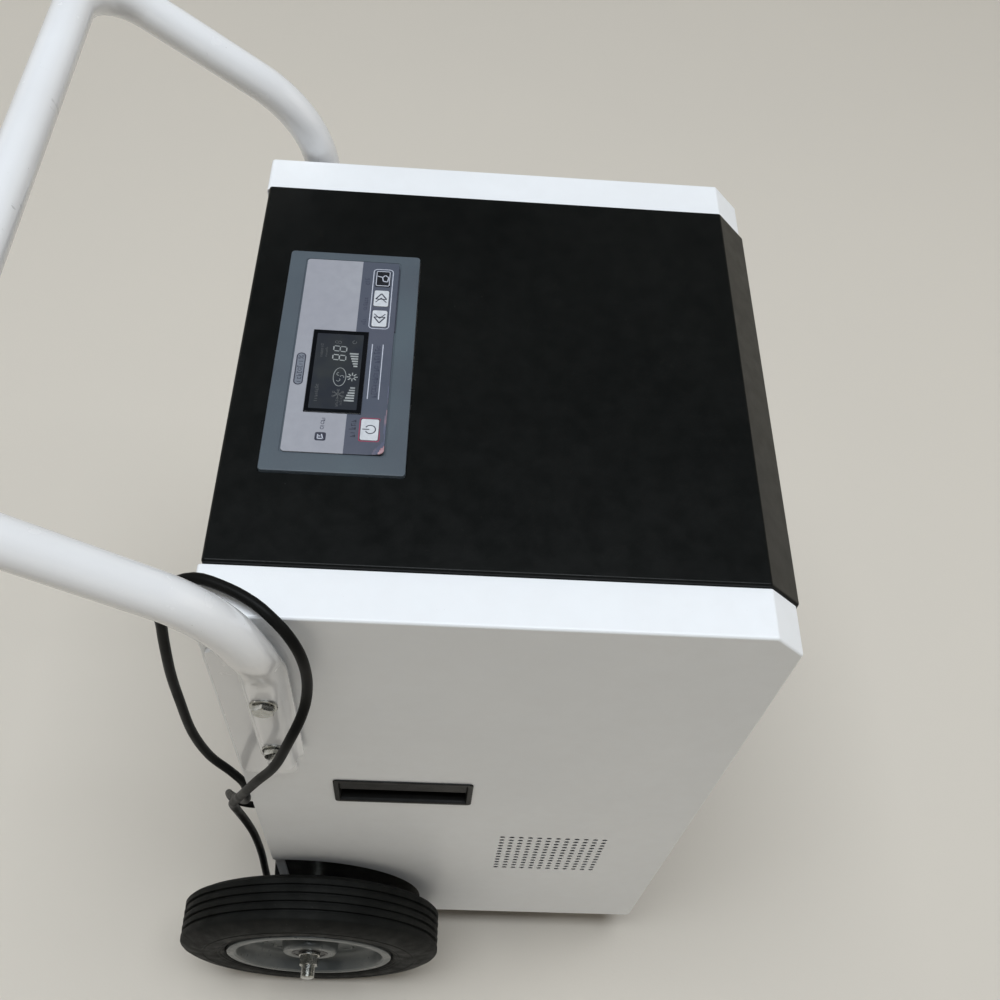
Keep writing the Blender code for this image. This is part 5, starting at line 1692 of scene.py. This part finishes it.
def tyre(name, side):
    """A solid tyre: five ribs with four grooves between, square shoulders, and rings on its walls."""
    r = WHEEL_R
    profile = []
    for k in range(4):
        x = 0.0180 - 0.0090 * k
        profile += [
            (r, x + 0.0013), (r - 0.0004, x - 0.0002), (r - 0.0038, x - 0.0010), (r - 0.0040, x - 0.0022)
        ]
        profile += [(r - 0.0038, x - 0.0034), (r - 0.0004, x - 0.0042)]
    tread = [(r - 0.0002, 0.0212)] + [(rr, x - 0.00275) for rr, x in profile] + [(r - 0.0002, -0.0212)]
    wall = [
        (r - 0.0010, 0.0224), (r - 0.0030, 0.0242), (r - 0.0055, 0.0254), (0.1440, 0.0269), (0.1400, 0.0284)
    ]
    wall += [
        (0.1340, 0.0299), (0.1280, 0.0308), (0.1262, 0.0310), (0.1252, 0.0304), (0.1240, 0.0304),
        (0.1230, 0.0311)
    ]
    wall += [
        (0.1180, 0.0311), (0.1130, 0.0309), (0.1100, 0.0306), (0.1092, 0.0300), (0.1082, 0.0299),
        (0.1074, 0.0303)
    ]
    wall += [
        (0.1056, 0.0300), (0.1048, 0.0292), (0.1040, 0.0291), (0.1032, 0.0294), (0.1012, 0.0283),
        (0.0992, 0.0262)
    ]
    wall += [(0.0982, 0.0235)]
    outer = list(reversed(wall))
    inner = [(rr, -x) for rr, x in wall]
    bm = bmesh.new()
    at = (side * WHEEL_X, WHEEL_Y, WHEEL_R)
    lathe(bm, outer + tread + inner, at, "+X" if side > 0 else "-X", 128, ring=True)
    make(f"{name}_solid_tyre", bm, "tyre_rubber", f"{name}_wheel", f"{name}_tyre", smooth=32)


def wheel_rim(name, side):
    """A pressed rim: a rolled lip, a dish with short pressed crescents, and a hub that stands out of it."""
    outer = [
        (
            0.0216, 0.0262
        ), (0.0226, 0.0268), (0.0290, 0.0268), (0.0306, 0.0262), (0.0318, 0.0248), (0.0328, 0.0215),
        (
            0.0340, 0.0120
        ), (0.0362, 0.0090), (0.0400, 0.0080), (0.0470, 0.0086), (0.0560, 0.0094), (0.0660, 0.0100),
        (
            0.0740, 0.0104
        ), (0.0790, 0.0118), (0.0822, 0.0150), (0.0840, 0.0200), (0.0852, 0.0255), (0.0866, 0.0290),
        (
            0.0888, 0.0305
        ), (0.0915, 0.0302), (0.0938, 0.0305), (0.0958, 0.0303), (0.0972, 0.0294), (0.0977, 0.0278),
    ]
    inner = [(0.0977, -0.0278), (0.0972, -0.0294), (0.0958, -0.0303), (0.0900, -0.0305), (0.0866, -0.0290)]
    inner += [(0.0846, -0.0240), (0.0815, -0.0060), (0.0760, 0.0050), (0.0500, 0.0045), (0.0360, 0.0035)]
    inner += [(0.0334, -0.0020), (0.0325, -0.0225), (0.0306, -0.0256), (0.0222, -0.0258)]
    bm = bmesh.new()
    at = (side * WHEEL_X, WHEEL_Y, WHEEL_R)
    axis = "+X" if side > 0 else "-X"
    lathe(bm, outer + inner, at, axis, 96, ring=True)
    matrix = turn_to(axis, at)
    for k in range(12):
        start = math.tau * k / 12 + 0.08
        rings = []
        for j in range(13):
            part = j / 12
            angle = start + 0.36 * part
            radius = 0.0600 + 0.0085 * math.sin(math.pi * part) - 0.0030
            size = 0.0026 * math.sin(math.pi * min(max(part, 0.03), 0.97)) ** 0.6
            centre = Vector((radius * math.cos(angle), radius * math.sin(angle), 0.0090))
            across = Vector((math.cos(angle), math.sin(angle), 0))
            rings.append([matrix @ p for p in circle(centre, size, across, Vector((0, 0, 1)), 12)])
        skin(bm, rings)
    make(f"{name}_pressed_rim", bm, "rim_grey_enamel", f"{name}_wheel", f"{name}_wheel_rim", smooth=32)
    bm = bmesh.new()
    race = [
        (0.0104, 0.0262), (0.0128, 0.0268), (0.0138, 0.0268), (0.0142, 0.0262), (0.0184, 0.0262),
        (0.0190, 0.0270)
    ]
    race += [(0.0212, 0.0268), (0.0215, 0.0262), (0.0215, 0.0132), (0.0104, 0.0132)]
    lathe(bm, race, at, axis, 64, ring=True)
    make(f"{name}_bearing_ring", bm, "bearing_seal", f"{name}_wheel", f"{name}_wheel_bearing", smooth=32)


def axle():
    """A steel bar with threaded ends, and on each a washer and a hexagon nut."""
    profile = [(0.0, AXLE_END_X), (0.0066, AXLE_END_X), (0.0078, AXLE_END_X - 0.0011)]
    pitch = 0.0015
    count = int((AXLE_END_X - 0.0020 - 0.3150) / pitch)
    for k in range(count):
        x = AXLE_END_X - 0.0015 - pitch * k
        profile += [(0.0080, x), (0.0080, x - 0.0003), (0.0073, x - 0.0008), (0.0073, x - 0.0010)]
    profile += [(0.0080, 0.3150), (0.0096, 0.3149), (0.0100, 0.3144)]
    bm = bmesh.new()
    lathe(bm, profile + [(r, -x) for r, x in reversed(profile)], (0, WHEEL_Y, WHEEL_R), "+X", 36)
    make("axle_bar", bm, "zinc_plate", nodes="axle", smooth=30)
    for name, side in SIDES.items():
        bm = bmesh.new()
        at = (0, WHEEL_Y, WHEEL_R)
        direction = "+X" if side > 0 else "-X"
        washer = [(0.0083, 0.3149), (0.0126, 0.3149), (0.0126, 0.3166), (0.0121, 0.3172), (0.0083, 0.3172)]
        lathe(bm, washer, at, direction, 48, ring=True)
        hex_body(bm, at, direction, 0.0103, 0.3175, 0.3280, bore=0.0083)
        make(f"{name}_wheel_nut", bm, "zinc_plate", nodes=f"{name}_axle_nut", smooth=30)


def caster(name, side):
    """A plate with four bolts and a ball race, a folded fork that swivels under it, and a small wheel."""
    x, y = side * CASTER_X, CASTER_Y
    bm = bmesh.new()
    block(bm, (x - 0.030, y - 0.025, 0.0727), (x + 0.030, y + 0.025, 0.0751), 0.0006, 0.0040)
    race = [(0.0165, 0.0720), (0.0190, 0.0700), (0.0195, 0.0672), (0.0180, 0.0655)]
    lathe(bm, race + [(0.0072, 0.0655), (0.0072, 0.0729), (0.0165, 0.0729)], (x, y, 0), "+Z", 40, ring=True)
    lathe(
        bm,
        [
            (0.0, 0.0530), (0.0085, 0.0532), (0.0095, 0.0542), (0.0095, 0.0552), (0.0070, 0.0562),
            (0.0070, 0.0735), (0.0, 0.0735)
        ],
        (x, y, 0), "+Z", 28
    )
    for dx in (-0.023, 0.023):
        for dy in (-0.018, 0.018):
            hex_body(bm, (x + dx, y + dy, 0.0729), "-Z", 0.0038, 0.0, 0.0026)
    make(f"{name}_caster_top", bm, "zinc_plate", nodes=f"{name}_caster_plate", smooth=32)

    wheel_y = y + CASTER_TRAIL
    bm = bmesh.new()
    slab(
        bm, rect(x - 0.0155, x + 0.0155, y - 0.016, y + 0.032, 0.0060, 6),
        rounded_levels(0.0600, 0.0630, 0.0006, 0.0006)
    )
    for inner in (-0.0155, 0.0125):
        outline = []
        for u, v in ((y - 0.0145, 0.0612), (y + 0.0305, 0.0612)):
            outline.append((u, v))
        for k in range(9):
            a = math.radians(20 - 220 * k / 8)
            outline.append((wheel_y + 0.0105 * math.cos(a), CASTER_R + 0.0098 * math.sin(a)))
        rows = [[Vector((px, u, v)) for u, v in outline] for px in (x + inner, x + inner + 0.0030)]
        skin(bm, rows)
    make(
        f"{name}_caster_yoke", bm, "zinc_plate", f"{name}_caster", f"{name}_caster_fork", bevel=0.0004,
        smooth=32
    )

    bm = bmesh.new()
    at = (x, wheel_y, CASTER_R)
    tread = [
        (0.0150, 0.0078), (0.0165, 0.0090), (0.0200, 0.0096), (0.0225, 0.0090), (0.0240, 0.0072),
        (CASTER_R, 0.0040)
    ]
    lathe(bm, tread + [(r, -h) for r, h in reversed(tread)], at, "+X", 56, ring=True)
    make(
        f"{name}_caster_tread", bm, "caster_rubber", f"{name}_caster_roller", f"{name}_caster_wheel",
        smooth=35
    )
    bm = bmesh.new()
    hub = [
        (0.0044, 0.0100), (0.0070, 0.0100), (0.0078, 0.0090), (0.0090, 0.0062), (0.0135, 0.0062),
        (0.0151, 0.0076)
    ]
    lathe(bm, hub + [(r, -h) for r, h in reversed(hub)], at, "+X", 48, ring=True)
    for k in range(6):
        a = math.tau * k / 6
        c, s = math.cos(a), math.sin(a)
        for face in (-1, 1):
            lo = Vector((x + face * 0.0058, wheel_y + 0.0080 * c, CASTER_R + 0.0080 * s))
            hi = Vector((x + face * 0.0058, wheel_y + 0.0145 * c, CASTER_R + 0.0145 * s))
            pipe(bm, [lo, hi], 0.0011, 8)
    make(f"{name}_caster_hub", bm, "grip_plastic", f"{name}_caster_roller", smooth=35)
    bm = bmesh.new()
    lathe(
        bm,
        [
            (0.0, 0.0178), (0.0048, 0.0178), (0.0058, 0.0170), (0.0058, 0.0158), (0.0040, 0.0158),
            (0.0040, -0.0158)
        ],
        at, "+X", 24
    )
    hex_body(bm, at, "-X", 0.0056, 0.0158, 0.0178)
    make(f"{name}_caster_axle", bm, "raw_steel", f"{name}_caster", f"{name}_caster_pin", smooth=32)


# Inside


def fin_block(name, node, y_range):
    """Aluminium fins on copper tubes, whose return bends show at both ends."""
    z0, z1 = 0.3330, 0.7995
    bm = bmesh.new()
    count = 110
    for k in range(count):
        x = -0.1440 + 0.288 * k / (count - 1)
        lo, hi = (x - 0.00035, y_range[0] + 0.001, z0 + 0.004), (x + 0.00035, y_range[1] - 0.001, z1 - 0.004)
        corners = bmesh.ops.create_cube(bm, size=1)["verts"]
        for vertex in corners:
            vertex.co = Vector(a + (b - a) * (c + 0.5) for a, b, c in zip(lo, hi, vertex.co))
    for x in (-0.1475, 0.1475):
        block(bm, (x - 0.0010, y_range[0], z0), (x + 0.0010, y_range[1], z1), 0.0004)
    make(f"{name}_fins", bm, "aluminium_fins", nodes=node, smooth=30)
    bm = bmesh.new()
    rows = 12
    pitch = (z1 - z0 - 0.040) / (rows - 1)
    middle = (y_range[0] + y_range[1]) / 2
    for dy in (-0.0095, 0.0095):
        for k in range(rows):
            z = z0 + 0.020 + pitch * k
            pipe(bm, [(-0.1495, middle + dy, z), (0.1495, middle + dy, z)], 0.0042, 10)
    for end in (-1, 1):
        for dy in (-0.0095, 0.0095):
            for k in range(0 if end > 0 else 1, rows - 1, 2):
                z = z0 + 0.020 + pitch * k
                bend = []
                for j in range(9):
                    a = math.pi * j / 8
                    reach = min(0.0090, pitch / 2) * math.sin(a)
                    bend.append(
                        (end * (0.1488 + reach), middle + dy, z + pitch / 2 - pitch / 2 * math.cos(a))
                    )
                pipe(bm, bend, 0.0042, 10)
    make(f"{name}_tubes", bm, "copper_tube", smooth=40)


def refrigeration():
    """The compressor on its feet, the two heat exchangers, the drip tray, pipes and the electrical box."""
    at = (-0.070, -0.020, 0)
    bm = bmesh.new()
    shell = [
        (0, 0.3000), (0.020, 0.2992), (0.040, 0.2955), (0.056, 0.2872), (0.066, 0.2745), (0.0695, 0.2600),
        (0.070, 0.2480)
    ]
    shell += [
        (0.070, 0.2060), (0.0715, 0.2045), (0.0715, 0.2010), (0.070, 0.1995), (0.070, 0.1400),
        (0.0680, 0.1250)
    ]
    shell += [(0.0600, 0.1130), (0.0500, 0.1060), (0.0480, 0.0980), (0.0480, 0.0785), (0, 0.0785)]
    lathe(bm, shell, at, "+Z", 64)
    for k in range(3):
        a = math.tau * k / 3 + 0.5
        foot = Matrix.Translation(at) @ Matrix.Rotation(a, 4, "Z")
        rings = []
        for u, half in ((0.045, 0.020), (0.062, 0.016), (0.074, 0.011), (0.078, 0.006)):
            rings.append(
                [
                    foot @ Vector((u, v, z)) for v, z in (
                        (-half, 0.0900), (half, 0.0900), (half, 0.0940), (-half, 0.0940)
                    )
                ]
            )
        skin(bm, rings)
    make("compressor_can", bm, "black_satin_paint", nodes="compressor", smooth=35)
    fin_block("cold_coil", "evaporator", (-0.185, -0.145))
    fin_block("warm_coil", "condenser", (-0.115, -0.075))
    keep("drip_tray", "black_moulded_plastic", 0.0008)
    keep("suction_pipe", "copper_tube")
    keep("drain_pipe", "drain_plastic")
    bm = bmesh.new()
    block(bm, (0.100, 0.030, 0.0785), (0.180, 0.120, 0.1680), 0.0020, 0.0040)
    block(bm, (0.0985, 0.0285, 0.1655), (0.1815, 0.1215, 0.1750), 0.0015, 0.0050)
    for x in (0.106, 0.174):
        for y in (0.036, 0.114):
            screw_head(bm, (x, y, 0.1748), "+Z", 0.0030, 0.0014)
    for y in (0.050, 0.075, 0.100):
        lathe(
            bm, [(0, 0.0), (0.0075, 0.0), (0.0075, 0.006), (0.0060, 0.008), (0.0045, 0.012), (0, 0.012)],
            (0.100, y, 0.110), "-X", 24
        )
    make("electrical_case", bm, "black_moulded_plastic", nodes="electrical_box", smooth=35)


def fan():
    """A bell-mouthed shroud with a wire guard, a ribbed motor on its arms, and five twisted blades."""
    keep("fan_shroud", "galvanised_sheet", 0.0004)
    centre = (0, 0, FAN_Z)
    bm = bmesh.new()
    mouth = [
        (FAN_R + 0.0065, 0.0718), (FAN_R + 0.0120, 0.0722), (FAN_R + 0.0085, 0.0745), (FAN_R + 0.0066, 0.0790)
    ]
    mouth += [(FAN_R + 0.0062, 0.1020), (FAN_R + 0.0050, 0.1020), (FAN_R + 0.0052, 0.0780)]
    lathe(bm, mouth, centre, "+Y", 96, ring=True)
    make("shroud_mouth", bm, "galvanised_sheet", smooth=35)
    bm = bmesh.new()
    profile = [
        (0, 0.1250), (0.0048, 0.1250), (0.0052, 0.1240), (0.0052, 0.0600), (0.0150, 0.0595), (0.0380, 0.0590),
        (0.0440, 0.0560)
    ]
    for k in range(9):
        y = 0.0520 - 0.0045 * k
        profile += [(0.0450, y), (0.0450, y - 0.0024), (0.0436, y - 0.0028), (0.0436, y - 0.0042)]
    profile += [(0.0430, 0.0080), (0.0380, 0.0052), (0, 0.0050)]
    lathe(bm, profile, centre, "+Y", 48)
    make("motor_case", bm, "raw_steel", nodes="fan_motor", smooth=32)
    bm = bmesh.new()
    hub = [
        (0.0054, 0.1122), (0.0200, 0.1122), (0.0270, 0.1108), (0.0298, 0.1070), (0.0300, 0.0860),
        (0.0260, 0.0860), (0.0255, 0.1040), (0.0054, 0.1050)
    ]
    lathe(bm, hub, centre, "+Y", 48, ring=True)
    for number in range(5):
        turn = Matrix.Rotation(math.tau * number / 5, 4, "Y")
        rings = []
        for j in range(11):
            part = j / 10
            radius = 0.0285 + (FAN_R - 0.0290) * part
            half = 0.019 + 0.016 * math.sin(math.pi * min(part * 0.75 + 0.1, 1.0))
            if part > 0.85:
                half *= 1 - ((part - 0.85) / 0.15) ** 2 * 0.30
            pitch_angle = math.radians(40 - 17 * part)
            sweep = 0.014 * part * part
            ring = []
            for k in range(16):
                a = math.tau * k / 16
                u = half * math.cos(a)
                v = 0.0011 * math.sin(a) + 0.0028 * (1 - (u / half) ** 2)
                along = u * math.cos(pitch_angle) + sweep
                deep = u * math.sin(pitch_angle) + v
                depth = min(max(0.099 - deep, 0.0800), 0.1160)
                ring.append(
                    Vector((radius * math.cos(along / radius), depth, -radius * math.sin(along / radius)))
                )
            rings.append([Matrix.Translation(centre) @ turn @ p for p in ring])
        skin(bm, rings)
    make("fan_blades", bm, "black_moulded_plastic", "fan", "fan_wheel", smooth=40)
    bm = bmesh.new()
    for k in range(7):
        radius = 0.022 + 0.020 * k
        loop = circle(Vector((0, 0.1960, FAN_Z)), radius, Vector((1, 0, 0)), Vector((0, 0, 1)), 72)
        pipe(bm, loop, 0.0011, 8, loop=True)
    for k in range(8):
        a = math.tau * k / 8
        c, s = math.cos(a), math.sin(a)
        pipe(
            bm, [(0.020 * c, 0.1978, FAN_Z + 0.020 * s), (0.1465 * c, 0.1978, FAN_Z + 0.1465 * s)], 0.0014, 8
        )
    make("fan_guard", bm, "zinc_plate", smooth=40)


add_stage()
cord, cord_length = mains_cord()
gland = cable_gland()
plug, pins = mains_plug()
for side_name, side_sign in SIDES.items():
    side_panel(side_name, side_sign)
    vent_painted_shade_sheet(side_name, side_sign)
    recess_grip(side_name, side_sign)
    tyre(side_name, side_sign)
    wheel_rim(side_name, side_sign)
    caster(side_name, side_sign)
top_cover()
front_panel()
rear_panel()
base()
slat_grille("intake_grille", INTAKE_HALF_W, INTAKE_Z, INTAKE_Y, -1, 18, "filter_cassette", "filter_grille")
slat_grille("exhaust_grille", OUTLET_HALF_W, OUTLET_Z, OUTLET_Y, 1, 12, "cabinet", "outlet_grille")
air_filter()
control_bezel()
control_overlay()
overlay_print()
keys()
display()
push_handle()
handle_brackets()
handle_bolts()
axle()
refrigeration()
fan()
